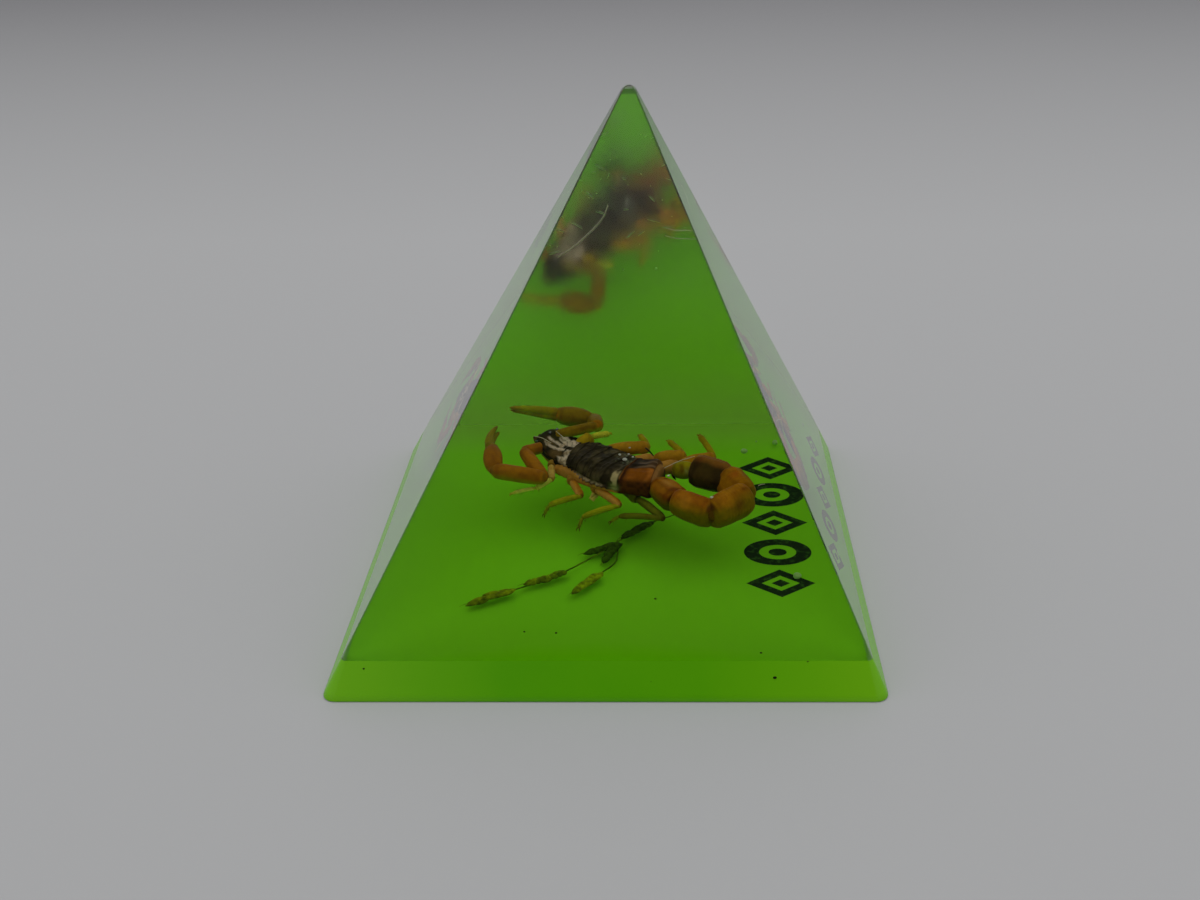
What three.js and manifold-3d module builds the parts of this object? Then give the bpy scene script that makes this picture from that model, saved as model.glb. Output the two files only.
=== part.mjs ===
// A dried scorpion and a grass sprig cast in a clear resin pyramid, on a thin opaque green layer.
//
// Millimetres, +Z up. The origin is the middle of the square underside. The front face looks
// towards -Y. The scorpion lies level above the green layer, heading for -X +Y, with its tail
// curled sideways towards +X. Its near side is the one towards -Y.

import * as THREE from 'three';
import { mergeVertices } from 'three/addons/utils/BufferGeometryUtils.js';
import Module from 'manifold-3d';

const wasm = await Module();
wasm.setup();

// ---- Driving dimensions ---------------------------------------------------------------------

const BASE_SIDE = 70; // side of the square underside
const SHARP_HEIGHT = 68.4; // height at which the four sloping edges would meet
const TIP_WEAR = 1.15; // height lost where the point is rounded off
const APEX_LEAN = 3.5; // the point stands this far towards +X of the middle
const COLOUR_DEPTH = 4.6; // thickness of the green layer
const EDGE_RADIUS = 0.25; // rounding of the sloping edges, seen in plan
const FOOT_RADIUS = 1.7; // rounding of the four corners at the underside, seen in plan
const FOOT_HEIGHT = 7; // where that rounding has faded into the edges
const UNDERSIDE_BEVEL = 0.3; // eased edge round the underside
const GAP = 0.3; // kept between pieces that touch
const SPLIT_HEIGHT = 13; // where the clear resin is parted for its pocket

const SCORPION_POCKET_FLOOR = 7.3;
const SCORPION_POCKET_ROOF = 17.6;
const SPRIG_POCKET_ROOF = 6.5;

const UP = new THREE.Vector3(0, 0, 1);

// ---- Solids ---------------------------------------------------------------------------------

/** A manifold solid from a closed geometry, whatever its winding. */
function toSolid(geometry) {
  geometry.deleteAttribute('normal');
  geometry.deleteAttribute('uv');
  const merged = mergeVertices(geometry, 1e-5);
  const vertProperties = new Float32Array(merged.attributes.position.array);
  const triVerts = new Uint32Array(merged.index.array);
  return new wasm.Manifold(new wasm.Mesh({ numProp: 3, vertProperties, triVerts }));
}

/** A three.js geometry from a manifold solid. */
function toGeometry(solid) {
  const mesh = solid.getMesh();
  const geometry = new THREE.BufferGeometry();
  geometry.setAttribute('position', new THREE.BufferAttribute(mesh.vertProperties, 3));
  geometry.setIndex(new THREE.BufferAttribute(mesh.triVerts, 1));
  geometry.computeVertexNormals();
  return geometry;
}

/** All of the solids joined into one. */
function joined(solids) {
  return solids.reduce((whole, solid) => whole.add(solid));
}

/** Six times the volume inside a triangle list, negative where its faces point in. */
function signedVolume(points, faces) {
  const cross = new THREE.Vector3();
  let sum = 0;
  for (const [a, b, c] of faces) {
    sum += cross.crossVectors(points[b], points[c]).dot(points[a]);
  }
  return sum;
}

/** A closed skin through rings that have the same number of points, flat at both ends. */
function loft(rings) {
  const sides = rings[0].length;
  const points = rings.flat();
  const faces = [];
  for (let ring = 0; ring < rings.length - 1; ring += 1) {
    for (let side = 0; side < sides; side += 1) {
      const a = ring * sides + side;
      const b = ring * sides + ((side + 1) % sides);
      faces.push([a, b, b + sides], [a, b + sides, a + sides]);
    }
  }
  for (const [start, flip] of [[0, true], [(rings.length - 1) * sides, false]]) {
    for (let side = 1; side < sides - 1; side += 1) {
      const [a, b, c] = [start, start + side, start + side + 1];
      faces.push(flip ? [a, c, b] : [a, b, c]);
    }
  }
  const outward = signedVolume(points, faces) > 0;
  const geometry = new THREE.BufferGeometry().setFromPoints(points);
  geometry.setIndex(faces.flatMap(([a, b, c]) => (outward ? [a, b, c] : [a, c, b])));
  return toSolid(geometry);
}

/** Points round an oval. A squareness above 1 pushes the oval towards a rounded box. */
function ovalRing(centre, across, up, halfWidth, halfHeight, sides, squareness = 1) {
  const bulge = (value) => Math.sign(value) * Math.abs(value) ** (1 / squareness);
  return Array.from({ length: sides }, (_, side) => {
    const angle = (2 * Math.PI * (side + 0.5)) / sides;
    return centre.clone()
      .addScaledVector(across, halfWidth * bulge(Math.cos(angle)))
      .addScaledVector(up, halfHeight * bulge(Math.sin(angle)));
  });
}

/** A limb joint to joint: full in the middle, drawn in at both ends. */
function limbSegment(from, to, shape) {
  const { width, depth = width, neck = 0.6, end = neck, rings = 4, sides = 6 } = shape;
  const start = new THREE.Vector3(...from);
  const finish = new THREE.Vector3(...to);
  const along = finish.clone().sub(start).normalize();
  const across = new THREE.Vector3().crossVectors(along, UP).normalize();
  const up = new THREE.Vector3().crossVectors(across, along);
  const sections = [];
  for (let ring = 0; ring <= rings; ring += 1) {
    const t = ring / rings;
    const tip = t < 0.5 ? neck : end;
    const swell = tip + (1 - tip) * Math.sin(Math.PI * t) ** 0.7;
    const centre = start.clone().lerp(finish, t);
    sections.push(ovalRing(centre, across, up, swell * width / 2, swell * depth / 2, sides));
  }
  return loft(sections);
}

const KNUCKLE_SHARE = 0.74; // width of a knuckle over that of the wider segment beside it

/** A chain of limb segments through the joints, each with its own width. */
function limb(joints, widths, shape = {}) {
  const segments = widths.map((width, i) => limbSegment(joints[i], joints[i + 1], { ...shape, width }));
  const knuckles = joints.slice(1, -1).map((joint, i) => {
    const size = KNUCKLE_SHARE * Math.max(widths[i], widths[i + 1]);
    const ball = new THREE.IcosahedronGeometry(size / 2, 0);
    return toSolid(ball.translate(...joint));
  });
  return [...segments, ...knuckles];
}

/** A flat-bottomed prism from an outline in plan. */
function prism(outline, low, high) {
  const shape = new THREE.Shape(outline.map(([x, y]) => new THREE.Vector2(x, y)));
  const geometry = new THREE.ExtrudeGeometry(shape, { depth: high - low, bevelEnabled: false });
  return toSolid(geometry.translate(0, 0, low));
}

// ---- The resin pyramid ----------------------------------------------------------------------

/** The pyramid's rounded-square outline at one height, drawn in by `inset`. */
function pyramidSection(height, inset = 0) {
  const taper = height / SHARP_HEIGHT;
  const half = (BASE_SIDE / 2) * (1 - taper) - inset;
  const foot = Math.max(0, 1 - height / FOOT_HEIGHT);
  const radius = Math.min(EDGE_RADIUS + (FOOT_RADIUS - EDGE_RADIUS) * foot, half * 0.7);
  const stepsPerCorner = 3;
  const ring = [];
  for (let corner = 0; corner < 4; corner += 1) {
    for (let step = 0; step <= stepsPerCorner; step += 1) {
      const angle = (Math.PI / 2) * (corner + step / stepsPerCorner);
      const turn = (Math.PI / 2) * corner + Math.PI / 4;
      const reach = (half - radius) * Math.SQRT2;
      ring.push(new THREE.Vector3(
        APEX_LEAN * taper + reach * Math.cos(turn) + radius * Math.cos(angle),
        reach * Math.sin(turn) + radius * Math.sin(angle),
        height,
      ));
    }
  }
  return ring;
}

/** The clear resin between the green layer and the split. */
function clearFoot() {
  return loft([
    pyramidSection(COLOUR_DEPTH + GAP),
    pyramidSection(FOOT_HEIGHT),
    pyramidSection(SPLIT_HEIGHT - GAP / 2),
  ]);
}

/** The green layer, with its underside edge eased. */
function colouredBase() {
  return loft([
    pyramidSection(0, UNDERSIDE_BEVEL),
    pyramidSection(UNDERSIDE_BEVEL),
    pyramidSection(COLOUR_DEPTH),
  ]);
}

/** The clear resin above the split, up to its worn point. */
function clearTop() {
  const top = SHARP_HEIGHT - TIP_WEAR;
  return loft([
    pyramidSection(SPLIT_HEIGHT + GAP / 2),
    pyramidSection(top - 0.75),
    pyramidSection(top - 0.25, 0.12),
    pyramidSection(top, 0.34),
  ]);
}

// Room for the scorpion and for the sprig, in plan.
const SCORPION_POCKET = [
  [-19.4, 1], [-14.5, -2.2], [-9, -5.2], [-4, -8], [5, -10.4], [13, -14], [18, -14.4],
  [22.4, -10], [22, -2], [17, 4.6], [13.6, 9], [6, 13], [0.5, 19], [-16, 17.6], [-19.4, 14],
];
const SPRIG_POCKET = [
  [-20, -21], [-18, -23], [-3.5, -20.2], [2.6, -13], [11, 2.4], [9.6, 5], [0, -1], [-12, -14],
];

// ---- The scorpion ---------------------------------------------------------------------------

// Midline from the front edge of the carapace to the tail. It turns towards +X in the last plate.
const BODY_LINE = new THREE.CatmullRomCurve3([
  new THREE.Vector3(-9.6, 11.6, 12.7),
  new THREE.Vector3(-3.2, 5.7, 12.75),
  new THREE.Vector3(3.2, -0.2, 12.85),
  new THREE.Vector3(7, -1.4, 13),
]);
const BODY_SIDES = 14;

// Carapace and seven back plates, front to rear: place along the midline from 0 to 1, half width,
// height above it and depth below it. A plate's rear edge stands over the next.
const CARAPACE = [
  [0, 1.4, 0.7, 0.8], [0.03, 1.9, 1.6, 1.3], [0.08, 2.2, 2, 1.8], [0.16, 2.8, 1.5, 2.3],
  [0.29, 3.4, 1.2, 2.8],
];
const BACK_PLATES = [
  [0.34, 3.6, 1.5, 2.9], [0.43, 3.8, 1.75, 3], [0.52, 4, 1.9, 2.8], [0.61, 4.2, 2, 2.3],
  [0.71, 4.1, 2.1, 1.7], [0.81, 3.9, 2.2, 1.4], [0.985, 3.2, 2.1, 1.8],
];
const BODY_END = [1, 2.4, 1.5, 1.3];
const CARAPACE_END = 0.3; // place along the midline where the first back plate starts
const PLATE_GAP = 0.008; // from one plate's end to the next plate's start, along the midline
const PLATE_STEP = 0.22; // how far a plate's rear edge stands over the next plate

/** Head and body: one lofted form with the plates' edges as steps. */
function body() {
  const section = (t, halfWidth, rise, drop) => {
    const along = BODY_LINE.getTangentAt(t);
    const across = new THREE.Vector3().crossVectors(along, UP).normalize();
    const up = new THREE.Vector3().crossVectors(across, along);
    const centre = BODY_LINE.getPointAt(t).addScaledVector(up, (rise - drop) / 2);
    return ovalRing(centre, across, up, halfWidth, (rise + drop) / 2, BODY_SIDES, 1.15);
  };
  const rings = CARAPACE.map((station) => section(...station));
  let plateStart = CARAPACE_END;
  for (const [end, halfWidth, rise, drop] of BACK_PLATES) {
    rings.push(section(plateStart, halfWidth - PLATE_STEP, rise - PLATE_STEP, drop));
    rings.push(section(end, halfWidth, rise, drop));
    plateStart = end + PLATE_GAP;
  }
  rings.push(section(...BODY_END));
  return loft(rings);
}

// Joints of the tail from the body to the base of the sting bulb.
const TAIL_JOINTS = [
  [6.9, -2.9, 12.9], [9.2, -6.7, 12.7], [13.6, -9.8, 12.5],
  [18.2, -6.2, 12.9], [15.9, -2.2, 13.7], [11.2, 0.1, 13.9],
];
const TAIL_WIDTHS = [4, 4.7, 5.1, 4.3, 4.3];
const TAIL_FLATNESS = 0.88; // depth over width of a segment
const TAIL_NECK = 0.64; // width of a segment's ends over its full width
const TAIL_KNUCKLE = 1.3; // radius of the joints between the segments
const STING_BULB = { from: [11.6, 0, 13.8], to: [9.6, 0.6, 13.4], width: 2.3 };
const STING_ROUTE = [[9.9, 0.6, 13.3], [9.5, 0.5, 12.7], [9.7, 0.2, 12.1]];
const STING_WIDTHS = [1, 0.45];

/** Five stout tail segments, the bulb and the curved sting. */
function tail() {
  const segments = TAIL_WIDTHS.map((width, i) => limbSegment(
    TAIL_JOINTS[i],
    TAIL_JOINTS[i + 1],
    { width, depth: width * TAIL_FLATNESS, neck: TAIL_NECK, rings: 5, sides: 10 },
  ));
  const knuckles = TAIL_JOINTS.slice(1, -1).map((joint) => {
    const ball = new THREE.IcosahedronGeometry(TAIL_KNUCKLE, 1);
    return toSolid(ball.translate(...joint));
  });
  const { from, to, width } = STING_BULB;
  const bulb = limbSegment(from, to, { width, neck: 0.45, rings: 5, sides: 8 });
  return [...segments, ...knuckles, bulb, ...limb(STING_ROUTE, STING_WIDTHS, { end: 0.3, rings: 3 })];
}

// Claw arms: joints from the head to the wrist, and the pincer's finger base and tip.
const CLAW_ARMS = [
  { // far arm, its pincer pointing to -X
    joints: [[-7.2, 9.6, 13], [-8, 9.9, 14.2], [-1.9, 11.3, 14.9], [-2.4, 16.2, 13.5]],
    palmEnd: [-7.8, 15.7, 14.6],
    palmWidth: 3.2,
    fingerTips: [[-14.3, 14.9, 16.1], [-14.2, 15.3, 15.5]],
  },
  { // near arm, its pincer pointing to +Y
    joints: [[-9, 9.2, 12.8], [-11.8, 6.9, 13.2], [-8.8, 0.4, 12.5], [-15.6, 1.9, 12.9]],
    palmEnd: [-16.3, 7.3, 13.4],
    palmWidth: 2.6,
    fingerTips: [[-15.9, 12.9, 14.2], [-15.6, 12.5, 13.5]],
  },
];
const ARM_WIDTHS = [1.7, 1.9, 2.3];
const PALM_DEPTH = 2.7;
const FINGER_SHAPE = { width: 1.3, neck: 0.95, end: 0.3 };
const FINGER_LIFTS = [0.3, -0.35]; // height of each finger's root over the end of the palm

/** One claw arm with its palm and two fingers. */
function clawArm({ joints, palmEnd, palmWidth, fingerTips }) {
  const wrist = joints.at(-1);
  const palmShape = { width: palmWidth, depth: PALM_DEPTH, neck: 0.58, rings: 5, sides: 8 };
  const palm = limbSegment(wrist, palmEnd, palmShape);
  const fingers = fingerTips.map((tip, i) => {
    const root = [palmEnd[0], palmEnd[1], palmEnd[2] + FINGER_LIFTS[i]];
    return limbSegment(root, tip, FINGER_SHAPE);
  });
  return [...limb(joints, ARM_WIDTHS, { neck: 0.7, sides: 8 }), palm, ...fingers];
}

// Walking legs: joints from inside the body to the toe. The near four, then the far four.
const LEGS = [
  [[-6.8, 7.4, 12.2], [-8, 5.4, 11.8], [-7.9, 2, 11.5], [-9.9, 1, 10.6], [-13.1, 0.9, 9.9]],
  [[-4.6, 4.8, 12], [-5, 1.4, 11.6], [-3.7, -2.2, 11.2], [-8, -2.2, 9.7], [-8.6, -2.6, 8.7]],
  [[-2, 2.6, 12], [-1.6, -0.8, 11.7], [1.6, -4.7, 11], [-3.4, -4.4, 9.1], [-3.9, -5.3, 8.1]],
  [[1.4, 0.6, 12], [3.9, -2.9, 11.1], [7.4, -7.4, 10.4], [1.5, -5, 9.5], [0.5, -5.4, 9]],
  [[-5.4, 7.8, 12.4], [-4.6, 8.8, 13.2], [-2.6, 9.9, 14], [-0.2, 10.3, 14.2]],
  [[-3, 5.8, 12.4], [-0.8, 7, 13.4], [5.4, 6.6, 14.1], [4.2, 10, 14]],
  [[-0.2, 3.2, 12.2], [6.2, 4.2, 13.3], [10.4, 3.4, 13.9], [8.2, 6.2, 15]],
  [[2.4, 0.8, 12], [9.6, 2.6, 13.2], [14.4, 2.9, 14.1], [12.4, 6.2, 15.8]],
];
const LEG_WIDTHS = [2.2, 1.25, 0.85, 0.55];

/** One walking leg: a thick hip in the body's side, then thinner towards its toe. */
function leg(joints) {
  return limb(joints, LEG_WIDTHS.slice(0, joints.length - 1), { rings: 3 });
}

// The pair of small jaws that stick out in front of the carapace.
const JAWS = [
  [[-8.4, 11.2, 12.7], [-9.7, 12.5, 12.7]],
  [[-9.1, 10.4, 12.7], [-10.4, 11.8, 12.7]],
];
const JAW_SHAPE = { width: 1.4, depth: 1.1 };

/** The whole animal, grown together. */
function scorpion() {
  return joined([
    body(),
    ...tail(),
    ...CLAW_ARMS.flatMap(clawArm),
    ...LEGS.flatMap(leg),
    ...JAWS.map(([from, to]) => limbSegment(from, to, JAW_SHAPE)),
  ]);
}

// ---- The grass sprig ------------------------------------------------------------------------

const STEM_WIDTH = 0.4;
const SPIKELET_WIDTH = 1.35;
const SPIKELET_DEPTH = 0.95;
const STEM_ROUTES = [
  [
    [-12.1, -17.2, 5.4], [-7.7, -14.4, 5.4], [-3.8, -9.8, 5.4], [-3, -7.2, 5.4],
    [1.8, -3.8, 5.4], [5.7, 0.6, 5.4], [9.2, 3.1, 5.4],
  ],
  [[1.2, -4.2, 5.4], [1.1, -9.7, 5.4], [-1, -13.2, 5.4]],
];
const SPIKELETS = [
  [[-17.9, -20.9, 5.5], [-11.8, -17, 5.5]],
  [[-10.8, -15.9, 5.5], [-7.2, -14, 5.5]],
  [[-8.2, -14.6, 5.5], [-5.4, -12.6, 5.5]],
  [[-3.3, -8, 5.5], [1.8, -5.2, 5.5]],
  [[-0.7, -10.4, 5.5], [1.3, -5, 5.5]],
  [[1.6, -3.8, 5.5], [5.9, 0.8, 5.5]],
  [[-4.5, -18.2, 5.5], [-0.7, -12.8, 5.5]],
];

/** The stem, its side branch and the spikelets that grow from them. */
function sprig() {
  const stems = STEM_ROUTES.flatMap((route) => (
    limb(route, route.slice(1).map(() => STEM_WIDTH), { neck: 1, rings: 1, sides: 6 })
  ));
  const spikelets = SPIKELETS.map(([from, to]) => limbSegment(from, to, {
    width: SPIKELET_WIDTH, depth: SPIKELET_DEPTH, neck: 0.12, rings: 6, sides: 8,
  }));
  return joined([...stems, ...spikelets]);
}

// ---- Scene graph ----------------------------------------------------------------------------

const specimen = new THREE.Group();

/** Adds one named mesh to the group. */
function addPiece(name, solid, colour, roughness) {
  const material = new THREE.MeshStandardMaterial({ color: colour, roughness, metalness: 0 });
  const mesh = new THREE.Mesh(toGeometry(solid), material);
  mesh.name = name;
  specimen.add(mesh);
  return material;
}

const lowerResin = clearFoot()
  .subtract(prism(SCORPION_POCKET, SCORPION_POCKET_FLOOR, SPLIT_HEIGHT))
  .subtract(prism(SPRIG_POCKET, COLOUR_DEPTH, SPRIG_POCKET_ROOF));
const upperResin = clearTop()
  .subtract(prism(SCORPION_POCKET, SPLIT_HEIGHT, SCORPION_POCKET_ROOF));

addPiece('green_base', colouredBase(), '#62ad1c', 0.35);
for (const [name, solid] of [['resin_lower', lowerResin], ['resin_upper', upperResin]]) {
  const resin = addPiece(name, solid, '#eef6e6', 0.03);
  resin.transparent = true;
  resin.opacity = 0.3;
}
addPiece('scorpion', scorpion(), '#b4661c', 0.45);
addPiece('grass_sprig', sprig(), '#5c6a2a', 0.8);

export default specimen;
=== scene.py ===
"""A dried scorpion and a grass sprig cast in a clear resin pyramid, on an opaque green layer.

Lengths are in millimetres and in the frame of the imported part: the origin is the middle of the
underside, the front face looks towards -Y and +Z is up. The scorpion heads for -X +Y. Its near side
is the one towards -Y. Meshes are made in metres.
"""

import logging
from collections.abc import Sequence
from dataclasses import dataclass, field
from enum import Enum

import bmesh
import bpy
import numpy as np
from mathutils import Matrix, Vector
from mathutils.geometry import delaunay_2d_cdt


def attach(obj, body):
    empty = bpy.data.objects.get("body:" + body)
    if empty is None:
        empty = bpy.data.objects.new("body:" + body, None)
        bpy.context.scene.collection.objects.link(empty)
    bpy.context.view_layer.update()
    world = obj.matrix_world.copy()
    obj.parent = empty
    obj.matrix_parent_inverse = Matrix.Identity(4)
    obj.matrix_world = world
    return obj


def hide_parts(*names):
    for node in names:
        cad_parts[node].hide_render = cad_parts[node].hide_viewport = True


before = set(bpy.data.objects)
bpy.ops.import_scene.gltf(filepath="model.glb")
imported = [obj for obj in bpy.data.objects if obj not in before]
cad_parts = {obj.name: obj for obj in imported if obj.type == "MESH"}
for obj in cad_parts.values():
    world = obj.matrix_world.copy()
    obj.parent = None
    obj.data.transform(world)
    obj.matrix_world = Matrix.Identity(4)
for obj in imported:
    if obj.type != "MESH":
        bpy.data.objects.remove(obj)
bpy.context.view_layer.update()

MM = 0.001  # one millimetre in metres
BODY = "root"
UP = np.array([0.0, 0.0, 1.0])

Array = np.ndarray
Point = tuple[float, float, float]
Knots = Sequence[tuple[float, float]]
Tree = bpy.types.NodeTree
Node = bpy.types.Node
Socket = bpy.types.NodeSocket

log = logging.getLogger("scorpion_pyramid")


# ---- Numbers and colours ------------------------------------------------------------------------


def linear(colour: str) -> Array:
    """Turns an sRGB hex colour to linear light.

    Args:
        colour: the colour as #rrggbb.

    Returns:
        Red, green and blue from 0 to 1.
    """
    channels = np.array([int(colour[i : i + 2], 16) for i in (1, 3, 5)]) / 255
    return np.where(channels <= 0.04045, channels / 12.92, ((channels + 0.055) / 1.055) ** 2.4)


def socket_colour(colour: str) -> tuple[float, ...]:
    """The colour of a shader socket from an sRGB hex colour."""
    return (*linear(colour).tolist(), 1.0)


def step(low: float, high: float, values: Array) -> Array:
    """A smooth step from 0 at `low` to 1 at `high`."""
    share = np.clip((values - low) / (high - low), 0, 1)
    return share * share * (3 - 2 * share)


def span(values: Array, rise: tuple[float, float], fall: tuple[float, float]) -> Array:
    """A stretch that rises smoothly from 0 to 1 over one range and falls back to 0 over another."""
    return step(*rise, values) * (1 - step(*fall, values))


def bump(values: Array, centre: float, width: float) -> Array:
    """A round bump, 1 at `centre` and next to nothing two widths away."""
    return np.exp(-(((values - centre) / width) ** 2))


def mix(a: Array, b: Array, share: Array) -> Array:
    """Colours `a` turned towards `b` by a share for each point."""
    return a + (b - a) * np.asarray(share)[..., None]


def tint(tones: Array, colour: str, share: Array) -> Array:
    """Colours turned towards one sRGB hex colour by a share for each point."""
    return mix(tones, linear(colour), share)


def ramp(low: str, high: str, share: Array) -> Array:
    """One sRGB hex colour turned towards another by a share for each point."""
    return mix(linear(low), linear(high), share)


def unit(vector: Sequence[float]) -> Array:
    """The vector at length one."""
    return np.asarray(vector, float) / np.linalg.norm(vector)


def turns(sides: int) -> Array:
    """Equal steps of angle round one full turn, in radians."""
    return np.arange(sides) * 2 * np.pi / sides


def smooth(places: Array, knots: Sequence[Sequence[float]]) -> Array:
    """Follows a smooth curve through knots.

    Args:
        places: where to read the curve.
        knots: rows of a place and one or more values, in order of place.

    Returns:
        The value at each place, with one column per value where a knot has several.
    """
    table = np.array(knots, float)
    x, y = table[:, 0], table[:, 1:]
    slope = np.gradient(y, x, axis=0)
    i = np.clip(np.searchsorted(x, places, side="right") - 1, 0, len(x) - 2)
    span = (x[i + 1] - x[i])[..., None]
    u = np.clip((np.asarray(places)[..., None] - x[i][..., None]) / span, 0, 1)
    near = (2 * u**3 - 3 * u**2 + 1) * y[i] + (u**3 - 2 * u**2 + u) * span * slope[i]
    far = (3 * u**2 - 2 * u**3) * y[i + 1] + (u**3 - u**2) * span * slope[i + 1]
    value = near + far
    return value[..., 0] if y.shape[1] == 1 else value


def chance(cells: Array, seed: float) -> Array:
    """A repeatable number from 0 to 1 for each whole-number cell."""
    mixed = np.sin(cells @ np.array([12.9898, 78.233, 37.719]) + seed * 4.137) * 43758.5453
    return mixed - np.floor(mixed)


def rumple(points: Array, size: float, seed: float) -> Array:
    """Smooth noise through space.

    Args:
        points: where to read it, in millimetres.
        size: the width of one rise or dip, in millimetres.
        seed: tells one pattern from another.

    Returns:
        A value from -1 to 1 for each point.
    """
    scaled = points / size
    cell = np.floor(scaled)
    part = scaled - cell
    part = part * part * (3 - 2 * part)
    total = np.zeros(points.shape[:-1])
    for corner in np.ndindex(2, 2, 2):
        weight = np.prod(np.where(np.array(corner) == 1, part, 1 - part), axis=-1)
        total += weight * chance(cell + np.array(corner), seed)
    return 2 * total - 1


def grains(points: Array, spacing: float, seed: float) -> Array:
    """Small round grains scattered through space.

    Args:
        points: where to read them, in millimetres.
        spacing: the mean distance from one grain to the next, in millimetres.
        seed: tells one pattern from another.

    Returns:
        1 in the middle of a grain, falling to 0 at its rim.
    """
    scaled = points / spacing
    cell = np.floor(scaled)
    nearest = np.full(points.shape[:-1], 9.0)
    for corner in np.ndindex(3, 3, 3):
        home = cell + np.array(corner) - 1
        jitter = np.stack([chance(home, seed + shift) for shift in (0, 11, 23)], axis=-1)
        nearest = np.minimum(nearest, np.linalg.norm(scaled - home - jitter, axis=-1))
    return np.clip(1 - (nearest / 0.42) ** 2, 0, 1)


# ---- Shader nodes and finishes ------------------------------------------------------------------


def add_node(
    tree: Tree,
    kind: str,
    settings: dict[str, object] | None = None,
    inputs: dict[str | int, object] | None = None,
) -> Node:
    """Adds one node with its settings and links.

    Args:
        tree: the node tree of a material or of the world.
        kind: the node's type.
        settings: the node's own options by name.
        inputs: for an input socket, by name or number, its value or the output socket that feeds it.

    Returns:
        The new node.
    """
    node = tree.nodes.new(kind)
    for name, value in (settings or {}).items():
        setattr(node, name, value)
    for name, value in (inputs or {}).items():
        if isinstance(value, Socket):
            tree.links.new(value, node.inputs[name])
        else:
            node.inputs[name].default_value = value
    return node


# A Mix node that mixes colours: its setting, its input sockets and its result.
MIX_COLOURS = {"data_type": "RGBA"}
MIX_FACTOR, MIX_A, MIX_B, MIX_RESULT = 0, 6, 7, 2


@dataclass
class Layout:
    """The nodes of one material while it is laid out."""

    tree: Tree
    shader: Node
    output: Node
    place: Socket  # the place on the piece, in metres
    x: Socket
    y: Socket
    z: Socket

    def feed(self, name: str, socket: Socket) -> None:
        """Feeds one input of the shader."""
        self.tree.links.new(socket, self.shader.inputs[name])

    def clouds(self, size: float, detail: float = 3.0, limits: tuple[float, ...] | None = None) -> Socket:
        """Lays out a cloudy pattern.

        Args:
            size: the width of one cloud, in millimetres.
            detail: how many finer layers lie over it.
            limits: where the pattern starts and ends to count, and its values there.

        Returns:
            The pattern.
        """
        inputs = {"Vector": self.place, "Scale": 1 / (size * MM), "Detail": detail, "Roughness": 0.55}
        pattern = add_node(self.tree, "ShaderNodeTexNoise", inputs=inputs).outputs[0]
        if limits is None:
            return pattern
        spread = dict(zip(("From Min", "From Max", "To Min", "To Max"), limits))
        return add_node(self.tree, "ShaderNodeMapRange", inputs={"Value": pattern, **spread}).outputs[0]

    def relief(self, size: float, height: float, detail: float = 3.0, strength: float = 1.0) -> None:
        """Raises a cloudy pattern on the surface.

        Args:
            size: the width of one rise, in millimetres.
            height: its height, in millimetres.
            detail: how many finer layers lie over it.
            strength: how much of it takes effect.
        """
        inputs = {"Height": self.clouds(size, detail), "Strength": strength, "Distance": height * MM}
        self.feed("Normal", add_node(self.tree, "ShaderNodeBump", inputs=inputs).outputs[0])


@dataclass(frozen=True)
class Finish:
    """A material made once from one Principled shader and shared by every piece that asks for it."""

    name: str
    roughness: float
    ior: float
    specular: float = 0.5

    def material(self) -> bpy.types.Material:
        """Finds the material, or makes it on first use.

        Returns:
            The material with its nodes in place.
        """
        made = bpy.data.materials.get(self.name)
        if made:
            return made
        made = bpy.data.materials.new(self.name)
        made.use_nodes = True
        tree = made.node_tree
        tree.nodes.clear()
        plain = {"Roughness": self.roughness, "IOR": self.ior, "Specular IOR Level": self.specular}
        shader = add_node(tree, "ShaderNodeBsdfPrincipled", inputs=plain)
        output = add_node(tree, "ShaderNodeOutputMaterial", inputs={"Surface": shader.outputs[0]})
        place = add_node(tree, "ShaderNodeTexCoord").outputs["Object"]
        axes = add_node(tree, "ShaderNodeSeparateXYZ", inputs={0: place}).outputs
        self.dress(Layout(tree, shader, output, place, *axes))
        return made

    def dress(self, layout: Layout) -> None:
        """Adds the nodes that set this finish apart; each kind of finish has its own."""
        raise NotImplementedError


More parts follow.
